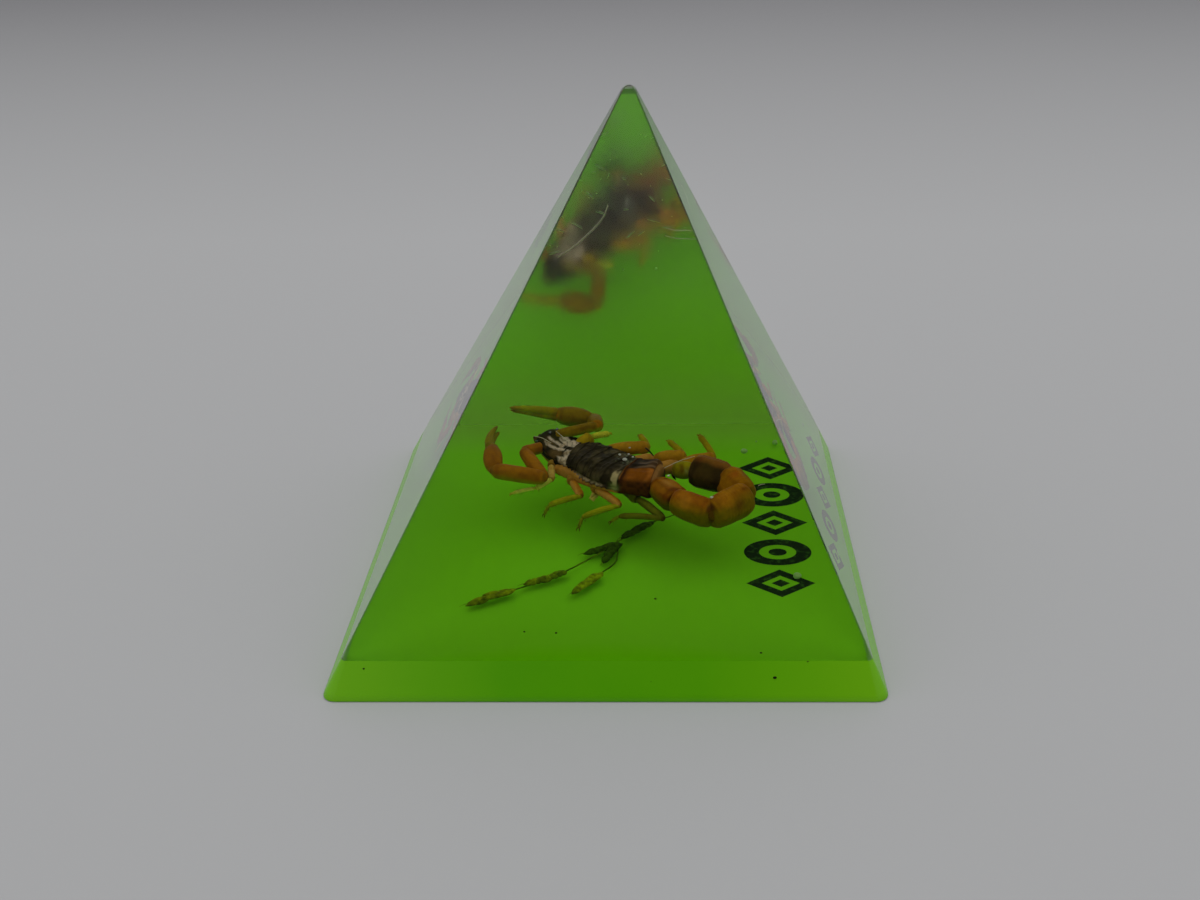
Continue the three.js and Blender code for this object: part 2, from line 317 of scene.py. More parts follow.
@dataclass(frozen=True)
class CastResin(Finish):
    """Clear polyester casting resin, poured and hand-polished.

    A typical index of 1.52 makes the slanted faces mirror the inside. Absorption gives long paths a
    faint yellow-green cast. Polishing leaves wide, hardly visible ripples. The back face was only
    fine-sanded, so what it mirrors is soft and a little veiled.
    """

    absorption_colour: str = "#c2d2a2"
    absorption_density: float = 7.0
    ripple_size: float = 16.0
    ripple_height: float = 0.004
    scuff_size: float = 5.0
    scuffed: float = 0.05  # roughness of the worst scuffs on the polished faces
    back_foot: float = 35.0  # where the back face meets the underside
    back_run: float = 0.5117  # how far it comes forward for each millimetre of height
    back_skin: tuple[float, float] = (0.3, 0.1)  # how far inside it the sanding starts and is full
    sanded: tuple[float, float] = (0.1, 0.17)  # roughness where the sanding is finest and coarsest
    sanding_size: float = 4.0

    def dress(self, layout: Layout) -> None:
        """Sets the plain transmission and absorption, the ripples, and the sanded back face.

        Args:
            layout: the material's nodes.
        """
        tree, plain = layout.tree, layout.shader.inputs
        plain["Transmission Weight"].default_value = 1.0
        plain["Base Color"].default_value = (1.0, 1.0, 1.0, 1.0)
        cast = {"Color": socket_colour(self.absorption_colour), "Density": self.absorption_density}
        volume = add_node(tree, "ShaderNodeVolumeAbsorption", inputs=cast)
        tree.links.new(volume.outputs[0], layout.output.inputs["Volume"])
        scuffs = layout.clouds(self.scuff_size, 5.0, (0.4, 0.75, 0.0, self.scuffed))
        sanding = layout.clouds(self.sanding_size, 3.0, (0.35, 0.65, *self.sanded))
        # This measure is the same all over the back face, and smaller everywhere in front of it.
        rearward = {0: layout.z, 1: self.back_run, 2: layout.y}
        rearward = add_node(tree, "ShaderNodeMath", {"operation": "MULTIPLY_ADD"}, rearward).outputs[0]
        start, full = ((self.back_foot - inside) * MM for inside in self.back_skin)
        at_back = {"Value": rearward, "From Min": start, "From Max": full}
        at_back = add_node(tree, "ShaderNodeMapRange", inputs=at_back).outputs[0]
        worn = add_node(tree, "ShaderNodeMath", {"operation": "MULTIPLY"}, {0: at_back, 1: sanding})
        rough = add_node(tree, "ShaderNodeMath", {"operation": "MAXIMUM"}, {0: scuffs, 1: worn.outputs[0]})
        layout.feed("Roughness", rough.outputs[0])
        layout.relief(self.ripple_size, self.ripple_height, detail=1.0)


@dataclass(frozen=True)
class PigmentedResin(Finish):
    """Lime-green pigmented polyester resin, poured as one opaque layer.

    It mixes a deep, rich green and a little milky one. Where each lies is painted light and shade, set by each
    kind of layer, and soft clouds vary it.
    """

    milky: str = "#81df08"
    rich: str = "#6fcb04"
    cloud_size: float = 14.0
    clouding: tuple[float, float] = (-0.12, 0.06)  # how much the clouds take from and add to the milkiness
    grain_size: float = 0.6
    grain_height: float = 0.004

    def dress(self, layout: Layout) -> None:
        """Mixes the two greens by the painted light and shade and by soft clouds, and adds fine grain to the
        gloss.

        Args:
            layout: the material's nodes.
        """
        cloud = layout.clouds(self.cloud_size, 3.0, (0.3, 0.7, *self.clouding))
        milk = {0: self.painted_light_and_shade(layout), 1: cloud}
        milk = add_node(layout.tree, "ShaderNodeMath", {"operation": "ADD"}, milk).outputs[0]
        greens = {MIX_A: socket_colour(self.rich), MIX_B: socket_colour(self.milky), MIX_FACTOR: milk}
        green = add_node(layout.tree, "ShaderNodeMix", MIX_COLOURS, greens).outputs[MIX_RESULT]
        layout.feed("Base Color", self.faded(layout, green))
        layout.relief(self.grain_size, self.grain_height)

    def painted_light_and_shade(self, layout: Layout) -> Socket:
        """How milky the painted light and shade make the green at each place."""
        raise NotImplementedError

    def faded(self, layout: Layout, green: Socket) -> Socket:
        """The green as it is; a finish with painted light in one place turns it pale there."""
        return green


@dataclass(frozen=True)
class PigmentedWall(PigmentedResin):
    """The polished wall of the green layer, rich in the middle and milky towards its corners as painted light.
    """

    milky: str = "#74bd0a"
    rich: str = "#56a903"
    # where the painted light on the corners starts and is full
    corner_start: float = 12.0
    corner_end: float = 34.0
    least: float = 0.1  # milkiness in the middle

    def painted_light_and_shade(self, layout: Layout) -> Socket:
        """Grows with the distance from the wall's middle, painting light on the corners.

        Args:
            layout: the material's nodes.

        Returns:
            The milkiness, from 0 to 1.
        """
        out = add_node(layout.tree, "ShaderNodeMath", {"operation": "ABSOLUTE"}, {0: layout.x}).outputs[0]
        limits = {"From Min": self.corner_start * MM, "From Max": self.corner_end * MM, "To Min": self.least}
        return add_node(layout.tree, "ShaderNodeMapRange", inputs={"Value": out, **limits}).outputs[0]


@dataclass(frozen=True)
class PigmentedFloor(PigmentedResin):
    """The top of the green layer under the clear pour.

    It is richer along the front, as painted shade, and turns pale towards the back, as painted light.
    """

    milky: str = "#7bd31b"
    rich: str = "#73d302"
    pale: str = "#88cd39"
    pale_start: float = 23.0
    pale_end: float = 31.5
    margin: float = -28.2  # where the margin starts in the middle of the front
    margin_bow: float = 7.4  # how much nearer to the edge it starts, this far to each side
    margin_reach: float = 32.0
    margin_blur: float = 3.5

    def painted_light_and_shade(self, layout: Layout) -> Socket:
        """Falls off in a soft arc near the front edge, which paints shade there.

        Args:
            layout: the material's nodes.

        Returns:
            The milkiness, from 0 to 1.
        """
        tree = layout.tree
        squared = {0: layout.x, 1: layout.x}
        squared = add_node(tree, "ShaderNodeMath", {"operation": "MULTIPLY"}, squared).outputs[0]
        bent = {0: squared, 1: self.margin_bow / (self.margin_reach**2 * MM), 2: layout.y}
        bent = add_node(tree, "ShaderNodeMath", {"operation": "MULTIPLY_ADD"}, bent).outputs[0]
        limits = {"From Min": (self.margin - self.margin_blur) * MM, "From Max": self.margin * MM}
        return add_node(tree, "ShaderNodeMapRange", inputs={"Value": bent, **limits}).outputs[0]

    def faded(self, layout: Layout, green: Socket) -> Socket:
        """Turns the green pale towards the back, as painted light.

        Args:
            layout: the material's nodes.
            green: the green without the fading.

        Returns:
            The faded green.
        """
        limits = {"From Min": self.pale_start * MM, "From Max": self.pale_end * MM}
        share = add_node(layout.tree, "ShaderNodeMapRange", inputs={"Value": layout.y, **limits}).outputs[0]
        colours = {MIX_A: green, MIX_B: socket_colour(self.pale), MIX_FACTOR: share}
        return add_node(layout.tree, "ShaderNodeMix", MIX_COLOURS, colours).outputs[MIX_RESULT]


@dataclass(frozen=True)
class PrintedInk(Finish):
    """Black screen ink, printed on the green layer before the clear pour.

    The film is thin, so it is matt, a little green, and broken by pinholes and worn rims.
    """

    ink: str = "#1d3018"
    thin_ink: str = "#3c6a20"
    pinhole_size: float = 0.9

    def dress(self, layout: Layout) -> None:
        """Thins the ink in small patches.

        Args:
            layout: the material's nodes.
        """
        worn = layout.clouds(self.pinhole_size, 4.0, (0.52, 0.74, 0.0, 1.0))
        inks = {MIX_A: socket_colour(self.ink), MIX_B: socket_colour(self.thin_ink), MIX_FACTOR: worn}
        ink = add_node(layout.tree, "ShaderNodeMix", MIX_COLOURS, inks).outputs[MIX_RESULT]
        layout.feed("Base Color", ink)


@dataclass(frozen=True)
class Tinted(Finish):
    """A natural surface whose broad colours are held by the mesh and whose grain is added here.

    Each point of the mesh carries its own tone. Fine mottling darkens it, and low relief and an
    uneven gloss break up the light.
    """

    mottle_size: float = 0.5
    mottle_depth: float = 0.35
    relief_size: float = 0.22
    relief_height: float = 0.03
    gloss_spread: float = 0.12

    def dress(self, layout: Layout) -> None:
        """Lays mottling over the mesh's own tone, with relief and an uneven gloss.

        Args:
            layout: the material's nodes.
        """
        tone = add_node(layout.tree, "ShaderNodeAttribute", {"attribute_name": "tone"}).outputs[0]
        shade = layout.clouds(self.mottle_size, 4.0, (0.3, 0.62, 1 - self.mottle_depth, 1.0))
        shaded = {0: tone, "Scale": shade}
        colour = add_node(layout.tree, "ShaderNodeVectorMath", {"operation": "SCALE"}, shaded).outputs[0]
        layout.feed("Base Color", colour)
        glossy, dull = self.roughness - self.gloss_spread, self.roughness + self.gloss_spread
        layout.feed("Roughness", layout.clouds(self.mottle_size, 4.0, (0.3, 0.7, glossy, dull)))
        layout.relief(self.relief_size, self.relief_height)


@dataclass(frozen=True)
class StudioPaper(Finish):
    """Matt seamless paper, pressed and uncoated: a pale grey without any shine, darkened towards the back as
    painted shade.
    """

    near: str = "#b7b7b7"
    # the grey at the back, darkened as painted shade
    far: str = "#878688"
    painted_shade_start: float = 150.0
    painted_shade_end: float = 620.0
    fibre_size: float = 1.5
    fibre_height: float = 0.01

    def dress(self, layout: Layout) -> None:
        """Darkens the grey towards the back as painted shade, with a faint fibre pattern.

        Args:
            layout: the material's nodes.
        """
        limits = {"From Min": self.painted_shade_start * MM, "From Max": self.painted_shade_end * MM}
        share = add_node(layout.tree, "ShaderNodeMapRange", inputs={"Value": layout.y, **limits}).outputs[0]
        greys = {MIX_A: socket_colour(self.near), MIX_B: socket_colour(self.far), MIX_FACTOR: share}
        grey = add_node(layout.tree, "ShaderNodeMix", MIX_COLOURS, greys).outputs[MIX_RESULT]
        layout.feed("Base Color", grey)
        layout.relief(self.fibre_size, self.fibre_height, strength=0.3)


CLEAR_RESIN = CastResin("cast_polyester_resin_polished", roughness=0.01, ior=1.52)
GREEN_WALL = PigmentedWall("pigmented_polyester_resin_polished", roughness=0.25, ior=1.52, specular=0.2)
GREEN_FLOOR = PigmentedFloor(
    "pigmented_polyester_resin_under_clear_pour", roughness=0.9, ior=1.52, specular=0.0
)
INK = PrintedInk("screen_ink_under_clear_pour", roughness=0.9, ior=1.5, specular=0.0)
# Hard dried shell: the resin that wets it has nearly its index, so hardly any shine is left.
CUTICLE = Tinted(
    "scorpion_cuticle_dried", roughness=0.42, ior=1.54, specular=0.02, mottle_depth=0.2, relief_height=0.012
)
# Thin, gas-filled patches and eyes keep a bright shine inside the resin.
GLOSSY_CUTICLE = Tinted(
    "scorpion_cuticle_glossy", roughness=0.14, ior=1.6, specular=0.9, gloss_spread=0.04
)
# Husks and straw are fibrous and dull, with dark specks about half a millimetre wide.
GRASS = Tinted(
    "grass_dried", roughness=0.75, ior=1.5, specular=0.03, mottle_size=0.5, mottle_depth=0.65
)
# A trapped hair or a bubble is lined with air, so it shows as a pale line or dot.
AIR_FILM = Tinted("air_film_in_resin", roughness=0.3, ior=1.33, specular=0.1, mottle_depth=0.1)
PAPER = StudioPaper("seamless_paper_matt", roughness=0.95, ior=1.45, specular=0.2)


# ---- Meshes -------------------------------------------------------------------------------------


BALL_UNEVENNESS = 0.06  # how far a lump's side stands in or out, as a share of its radius


class Skin:
    """Gathers closed forms in millimetres, with a tone at each point, and makes one mesh of them."""

    def __init__(self) -> None:
        """Starts with no forms."""
        self.points: list[Array] = []
        self.tones: list[Array] = []
        self.faces: list[tuple[int, ...]] = []
        self.count = 0

    def add(self, points: Array, faces: Array, tones: Array) -> None:
        """Adds one closed form and turns its faces outward.

        Args:
            points: the form's points, one row each.
            faces: rows of three or four point numbers.
            tones: a linear colour for each point, or one for all.
        """
        fans = [faces[:, [0, i, i + 1]] for i in range(1, faces.shape[1] - 1)]
        a, b, c = points[np.concatenate(fans)].transpose(1, 0, 2)
        outward = np.einsum("ij,ij->i", a, np.cross(b, c)).sum() > 0
        ordered = faces if outward else faces[:, ::-1]
        self.faces += [tuple(face) for face in (ordered + self.count).tolist()]
        self.points.append(points)
        self.tones.append(np.broadcast_to(tones, points.shape))
        self.count += len(points)

    def add_tube(self, rings: Array, tones: Array) -> None:
        """Adds a closed tube through rings of points, drawn together at both ends.

        Args:
            rings: points by ring and side.
            tones: a linear colour for each of them, or one for all.
        """
        count, sides, _ = rings.shape
        tones = np.broadcast_to(tones, rings.shape)
        first = np.arange(count - 1)[:, None] * sides
        side = np.arange(sides)
        after = (side + 1) % sides
        walls = np.stack([first + side, first + after, first + sides + after, first + sides + side], -1)
        walls = walls.reshape(-1, 4)
        hubs = [count * sides, count * sides + 1]
        last = (count - 1) * sides
        caps = [
            np.stack([np.full(sides, hubs[0]), np.full(sides, hubs[0]), after, side], -1),
            np.stack([np.full(sides, hubs[1]), np.full(sides, hubs[1]), last + side, last + after], -1),
        ]
        points = np.concatenate([rings.reshape(-1, 3), rings[[0, -1]].mean(axis=1)])
        colours = np.concatenate([tones.reshape(-1, 3), tones[[0, -1]].mean(axis=1)])
        self.add(points, np.concatenate([walls, *caps]), colours)

    def add_ball(self, centre: Sequence[float], radii: Sequence[float], tone: Array) -> None:
        """Adds a rounded lump with slightly uneven sides.

        Args:
            centre: its middle.
            radii: its reach along X, Y and Z.
            tone: its linear colour.
        """
        ball = bmesh.new()
        bmesh.ops.create_icosphere(ball, subdivisions=3, radius=1.0)
        shape = np.array([vertex.co[:] for vertex in ball.verts])
        faces = np.array([[vertex.index for vertex in face.verts] for face in ball.faces])
        ball.free()
        uneven = 1 + BALL_UNEVENNESS * rumple(shape * 2 + np.asarray(centre), 1.3, 5)
        self.add(np.asarray(centre) + shape * uneven[:, None] * np.asarray(radii), faces, tone)

    def stain(self, centre: Sequence[float], radius: float, colour: str, strength: float = 0.85) -> None:
        """Turns the tone of everything near one place towards a colour, with a ragged rim.

        Args:
            centre: the middle of the stain, in millimetres.
            radius: how far it reaches.
            colour: its sRGB hex colour.
            strength: how much of the colour its middle takes.
        """
        for i, points in enumerate(self.points):
            away = np.linalg.norm(points - np.asarray(centre), axis=-1)
            away = away * (1 + 0.35 * rumple(points, 0.7 * radius, 61))
            self.tones[i] = mix(self.tones[i], linear(colour), strength * np.exp(-((away / radius) ** 2)))

    def make(self, name: str, finish: Finish) -> bpy.types.Object:
        """Makes the mesh object in metres.

        Args:
            name: the piece's name.
            finish: what it is finished in.

        Returns:
            The new object, linked to the scene.
        """
        points = np.concatenate(self.points) * MM
        faces = [tuple(dict.fromkeys(face)) for face in self.faces]
        mesh = bpy.data.meshes.new(name)
        mesh.from_pydata(points.tolist(), [], faces)
        mesh.validate()
        tones = np.concatenate([np.concatenate(self.tones), np.ones((len(points), 1))], axis=1)
        layer = mesh.color_attributes.new("tone", "FLOAT_COLOR", "POINT")
        layer.data.foreach_set("color", tones.astype(np.float32).ravel())
        mesh.shade_smooth()
        mesh.materials.append(finish.material())
        return link(name, mesh)


def link(name: str, mesh: bpy.types.Mesh) -> bpy.types.Object:
    """Links a mesh to the scene.

    Args:
        name: the object's name.
        mesh: its mesh.

    Returns:
        The new object.
    """
    piece = bpy.data.objects.new(name, mesh)
    bpy.context.scene.collection.objects.link(piece)
    return piece


def place_piece(piece: bpy.types.Object, slot: str, *nodes: str) -> bpy.types.Object:
    """Rides a finished piece on the part and reports it.

    Args:
        piece: the piece.
        slot: the record's material slot for the piece; not used.
        nodes: CAD nodes that it stands for.

    Returns:
        The same piece.
    """
    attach(piece, BODY)
    if nodes:
        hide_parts(*nodes)
    log.info("%s: %d faces", piece.name, len(piece.data.polygons))
    return piece


def tube_rings(route: Sequence[Sequence[float]], radii: Knots, rings: int, sides: int) -> Array:
    """Rings of a round tube along a smooth route.

    Args:
        route: points that it passes through.
        radii: (share of the route, radius) knots.
        rings: how many rings.
        sides: points on each ring.

    Returns:
        Points by ring and side.
    """
    share = np.linspace(0, 1, rings)
    knots = np.column_stack([np.linspace(0, 1, len(route)), np.array(route, float)])
    centres = smooth(share, knots)
    tangents = np.gradient(centres, axis=0)
    tangents /= np.linalg.norm(tangents, axis=1)[:, None]
    across = unit(np.cross(tangents[0], UP + np.array([0.01, 0.02, 0])))
    angle = turns(sides)
    made = []
    for centre, tangent, radius in zip(centres, tangents, smooth(share, radii)):
        across = unit(across - tangent * (across @ tangent))
        other = np.cross(tangent, across)
        made.append(centre + radius * (np.outer(np.cos(angle), across) + np.outer(np.sin(angle), other)))
    return np.array(made)


# Width along a hardened tube, as shares of its full width: a slender one, a stout one, one swollen
# like a palm, and one tapering like a finger.
SLENDER = (
    (0, 0.3), (0.03, 0.58), (0.12, 0.82), (0.35, 1.0), (0.7, 0.96), (0.92, 0.86), (0.98, 0.6), (1, 0.3),
)
STOUT = ((0, 0.6), (0.03, 0.77), (0.1, 0.88), (0.3, 0.98), (0.6, 1.0), (0.86, 0.96), (0.95, 0.84), (1, 0.6))
PALM = ((0, 0.3), (0.04, 0.5), (0.16, 0.78), (0.42, 1.0), (0.68, 0.99), (0.88, 0.8), (0.97, 0.6), (1, 0.35))
FINGER = ((0, 0.5), (0.05, 0.9), (0.2, 1.0), (0.5, 0.84), (0.8, 0.56), (0.94, 0.32), (1, 0.06))
# Half widths of a keel and of a furrow, in degrees round the tube, and how many low teeth a keel has.
KEEL_WIDTH, FURROW_WIDTH, KEEL_TEETH = 12, 26, 13


@dataclass(frozen=True)
class Shell:
    """The colours of one hardened tube.

    They are its middle, its keels and mottling, its joint skin, and where they differ a painted shade with
    green floor light on its lower side and a painted highlight on the edge that is turned up and outward.
    """

    middle: str
    dark: str
    joint: str
    joint_reach: float = 0.05
    # Colour of the lower side: painted shade, tinted by green light from the floor.
    painted_underside: str | None = None
    # Colour of a painted highlight on the edge turned up and outward.
    painted_highlight: str | None = None
    highlight_turn: float = 18.0  # degrees round the tube at which the edge lies

    def paint(self, points: Array, share: Array, keel: Array, angle: Array) -> Array:
        """Colours a tube.

        Args:
            points: its points, in millimetres.
            share: how far along the tube each one is.
            keel: how much each one stands on a keel.
            angle: where it is round the tube, a quarter turn on its top.

        Returns:
            A linear colour for each point.
        """
        clouds = step(-0.2, 0.9, rumple(points, 1.3, 7)) * 0.6
        streaks = 0.5 * keel * step(-0.6, 0.5, rumple(points, 0.9, 8))
        tone = ramp(self.middle, self.dark, np.clip(streaks + clouds, 0, 1))
        uneven = 0.2 * rumple(points, 1.6, 10)
        from_end = np.minimum(share, 1 - share)
        tone = tint(tone, self.dark, 0.6 * bump(from_end, 2.2 * self.joint_reach, self.joint_reach))
        tone = tint(tone, self.joint, 1 - step(0.3 * self.joint_reach, self.joint_reach, from_end))
        # Painted shade, tinted by the green light from the floor, on the lower side.
        if self.painted_underside:
            tone = tint(tone, self.painted_underside, 1 - step(-0.7, 0.25, np.sin(angle) + uneven))
        # A painted highlight along the side turned up and outward; on the last tail segment it also carries
        # that side's reddish colour.
        if self.painted_highlight:
            painted_highlight = np.cos(angle - np.radians(self.highlight_turn)) + uneven
            tone = tint(tone, self.painted_highlight, step(0.45, 0.85, painted_highlight))
        return tone


@dataclass(frozen=True)
class Tube:
    """One hardened tube of a limb or tail, with keels along it and drawn in at its joints."""

    start: Sequence[float]
    end: Sequence[float]
    width: float
    depth: float
    shell: Shell
    profile: Knots = SLENDER
    top: Sequence[float] = (0.0, 0.0, 1.0)
    overlap: float = 0.0  # how far it reaches past its start and its end
    keels: tuple[float, ...] = ()  # degrees round the tube, 90 on its top
    keel_height: float = 0.0
    furrow: float = 0.0  # depth of the hollow along its top
    bow: Point = (0.0, 0.0, 0.0)  # how far its middle stands off the straight line
    grain: float = 0.0  # height of the grains on its skin
    rings: int = 30
    sides: int = 24

    def build(self, skin: Skin) -> None:
        """Adds the tube to a skin.

        Args:
            skin: the skin that takes it.
        """
        share = np.linspace(0, 1, self.rings)
        # Rings crowd towards both ends, where the form turns in.
        share = 0.5 * share + 0.25 * (1 - np.cos(np.pi * share))
        along = unit(np.subtract(self.end, self.start))
        start = np.subtract(self.start, self.overlap * along)
        end = np.add(self.end, self.overlap * along)
        up = unit(np.asarray(self.top) - along * np.dot(self.top, along))
        across = np.cross(along, up)
        angle = turns(self.sides)
        degrees = np.degrees(angle)
        keel = np.zeros(self.sides)
        for at in self.keels:
            keel = keel + bump((degrees - at + 180) % 360 - 180, 0, KEEL_WIDTH)
        hollow = self.furrow * bump(degrees, 90, FURROW_WIDTH)
        inner = span(share, (0.02, 0.14), (0.9, 0.99))
        size = smooth(share, self.profile)
        line = np.outer(1 - share, start) + np.outer(share, end)
        line += np.outer(4 * share * (1 - share), self.bow)
        serrated = self.keel_height * (0.9 + 0.2 * np.sin(share * np.pi * 2 * KEEL_TEETH))
        raised = np.outer(serrated * inner, keel) - np.outer(inner, hollow)
        half_width = np.outer(size, np.full(self.sides, self.width / 2)) + raised
        half_depth = np.outer(size, np.full(self.sides, self.depth / 2)) + raised
        rings = line[:, None, :] + (half_width * np.cos(angle))[..., None] * across
        rings += (half_depth * np.sin(angle))[..., None] * up
        if self.grain:
            out = rings - line[:, None, :]
            out /= np.maximum(np.linalg.norm(out, axis=-1), 1e-6)[..., None]
            rough = self.grain * (grains(rings, 0.38, 3) + 0.8 * rumple(rings, 0.9, 9))
            rings += out * (rough * inner[:, None])[..., None]
        shares = np.broadcast_to(share[:, None], rings.shape[:-1])
        angles = np.broadcast_to(angle, shares.shape)
        skin.add_tube(rings, self.shell.paint(rings, shares, np.outer(inner, np.clip(keel, 0, 1)), angles))


def add_hairs(skin: Skin, roots: Array, tips: Array, radius: float, colour: str) -> None:
    """Adds short tapering hairs.

    Args:
        skin: what they grow on.
        roots: where they start, one row each.
        tips: where they end.
        radius: their radius at the root, in millimetres.
        colour: sRGB hex colour.
    """
    for root, tip in zip(roots, tips):
        middle = (root + tip) / 2 + 0.08 * np.linalg.norm(tip - root) * UP
        skin.add_tube(tube_rings([root, middle, tip], ((0, radius), (1, radius * 0.3)), 5, 4), linear(colour))


# ---- The resin pyramid --------------------------------------------------------------------------


@dataclass(frozen=True)
class PyramidShape:
    """The slanting walls that the clear resin and the green layer share."""

    base_side: float = 70.0
    sharp_height: float = 68.4
    tip_wear: float = 1.15
    apex_lean: float = 3.5
    colour_depth: float = 4.6
    edge_radius: float = 0.22
    foot_radius: float = 1.7
    foot_height: float = 7.0  # where the rounding of the foot's corners has faded out
    corner_steps: int = 8

    def section(self, height: float, inset: float = 0.0) -> Array:
        """The rounded square at one height.

        Args:
            height: height above the underside.
            inset: how far the outline is drawn in.

        Returns:
            Its points in order, one row each.
        """
        taper = height / self.sharp_height
        half = self.base_side / 2 * (1 - taper) - inset
        foot = max(0.0, 1 - height / self.foot_height)
        radius = min(self.edge_radius + (self.foot_radius - self.edge_radius) * foot, half * 0.7)
        ring = []
        for corner in range(4):
            for stride in range(self.corner_steps + 1):
                angle = np.pi / 2 * (corner + stride / self.corner_steps)
                turn = np.pi / 2 * corner + np.pi / 4
                reach = (half - radius) * np.sqrt(2)
                x = self.apex_lean * taper + reach * np.cos(turn) + radius * np.cos(angle)
                ring.append((x, reach * np.sin(turn) + radius * np.sin(angle), height))
        return np.array(ring)


@dataclass
class ClearPyramid:
    """The clear casting above the green layer, with its polished faces and worn point."""

    shape: PyramidShape = field(default_factory=PyramidShape)
    sink: float = 0.05  # how far its underside sits in the green layer, so that no air lies between
    flat_heights: tuple[float, ...] = (4.6, 7.0, 20.0, 36.0, 52.0, 62.0, 65.5)
    tip_rings: tuple[tuple[float, float], ...] = (
        (0.9, 0.0), (0.65, 0.02), (0.42, 0.06), (0.25, 0.13), (0.12, 0.22), (0.04, 0.33), (0.0, 0.46),
    )  # below the worn top, and how far each ring is drawn in

    def build(self) -> bpy.types.Object:
        """Makes the clear piece.

        Returns:
            The piece, which stands for both halves of the clear solid.
        """
        top = self.shape.sharp_height - self.shape.tip_wear
        rings = [self.shape.section(self.shape.colour_depth, self.sink) - self.sink * UP]
        rings += [self.shape.section(height) for height in self.flat_heights]
        rings += [self.shape.section(top - below, inset) for below, inset in self.tip_rings]
        skin = Skin()
        skin.add_tube(np.array(rings), np.ones(3))
        piece = skin.make("clear_resin_pyramid", CLEAR_RESIN)
        self.keep_faces_flat(piece.data)
        return place_piece(piece, "clear_resin", "resin_lower", "resin_upper")

    def keep_faces_flat(self, mesh: bpy.types.Mesh) -> None:
        """Shades the four slanting faces and the underside flat, and their edges round.

        Args:
            mesh: the clear piece's mesh.
        """
        close = np.radians(0.5)
        rise = self.shape.base_side / 2 / self.shape.sharp_height
        flat = [Vector(side) for side in [*self.face_normals(rise), (0, 0, -1)]]
        for face in mesh.polygons:
            if min(face.normal.angle(side) for side in flat) < close:
                face.use_smooth = False

    def face_normals(self, rise: float) -> list[Point]:
        """The directions in which the four slanting faces look.

        Args:
            rise: half the base side over the height.

        Returns:
            One direction for each face.
        """
        lean = self.shape.apex_lean / self.shape.sharp_height
        return [(1, 0, rise - lean), (-1, 0, rise + lean), (0, 1, rise), (0, -1, rise)]


class Motif(Enum):
    """The plain figures of the printed border."""

    LOZENGE = "lozenge"
    ROUNDEL = "roundel"


@dataclass
class GreenLayer:
    """The opaque green layer and the plain border printed on it."""

    shape: PyramidShape = field(default_factory=PyramidShape)
    bevel: float = 0.3
    border_x: float = 22.6
    border_start: float = -14.2
    border_pitch: float = 8.1
    motif_size: tuple[float, float] = (4.5, 3.5)  # half its length along X and along Y
    motif_sides: dict[Motif, int] = field(default_factory=lambda: {Motif.LOZENGE: 4, Motif.ROUNDEL: 40})
    lines: tuple[float, ...] = (1.0, 0.55, 0.27)  # sizes of a motif's rim, its hollow and its middle
    border: tuple[Motif, ...] = (
        Motif.LOZENGE, Motif.ROUNDEL, Motif.LOZENGE, Motif.ROUNDEL, Motif.LOZENGE,
    )

    def outline(self, motif: Motif, centre: tuple[float, float], size: float) -> list[Vector]:
        """One closed line of a motif.

        Args:
            motif: which figure.
            centre: its middle, in plan.
            size: the line's size as a share of the figure's rim.

        Returns:
            The line's points in order.
        """
        sides = self.motif_sides[motif]
        long, short = (half * size for half in self.motif_size)
        middle_x, middle_y = centre
        return [Vector((middle_x + long * np.cos(a), middle_y + short * np.sin(a))) for a in turns(sides)]

    def build(self) -> bpy.types.Object:
        """Makes the layer.

        Returns:
            The piece, which stands for the green base.
        """
        depth = self.shape.colour_depth
        heights = [(0.0, self.bevel), (self.bevel * 0.3, self.bevel * 0.3), (self.bevel, 0.0)]
        heights += [(height, 0.0) for height in np.linspace(self.bevel, depth, 8)[1:]]
        rings = [self.shape.section(height, inset) for height, inset in heights]
        layer = bmesh.new()
        rows = [[layer.verts.new(point * MM) for point in ring] for ring in rings]
        count = len(rows[0])
        for low, high in zip(rows, rows[1:]):
            for i in range(count):
                j = (i + 1) % count
                layer.faces.new((low[i], low[j], high[j], high[i])).smooth = True
        layer.faces.new(list(reversed(rows[0])))
        self.add_floor(layer, rings[-1])
        bmesh.ops.remove_doubles(layer, verts=layer.verts, dist=1e-7)
        bmesh.ops.recalc_face_normals(layer, faces=layer.faces)
        mesh = bpy.data.meshes.new("green_resin_layer")
        layer.to_mesh(mesh)
        layer.free()
        for finish in (GREEN_WALL, GREEN_FLOOR, INK):
            mesh.materials.append(finish.material())
        mesh.set_sharp_from_angle(angle=np.radians(40))
        return place_piece(link("green_resin_layer", mesh), "green_resin", "green_base")

    def add_floor(self, layer: bmesh.types.BMesh, rim: Array) -> None:
        """Covers the layer and sets the border into the cover, flush with it.

        Args:
            layer: the mesh being made.
            rim: the outline that the cover fills.
        """
        points = [Vector(point[:2]) for point in rim]
        loops = [list(range(len(points)))]
        for place, motif in enumerate(self.border):
            centre = (self.border_x, self.border_start + place * self.border_pitch)
            for size in self.lines:
                line = self.outline(motif, centre, size)
                loops.append(list(range(len(points), len(points) + len(line))))
                points += line
        spots, _, faces, _, _, owners = delaunay_2d_cdt(points, [], loops, 1, 1e-6, True)
        corners = [layer.verts.new((x * MM, y * MM, self.shape.colour_depth * MM)) for x, y in spots]
        for face, owner in zip(faces, owners):
            lines_round_it = sum(1 for loop in owner if loop > 0)
            made = layer.faces.new([corners[i] for i in face])
            made.material_index = 2 if lines_round_it % 2 else 1


# ---- The scorpion -------------------------------------------------------------------------------


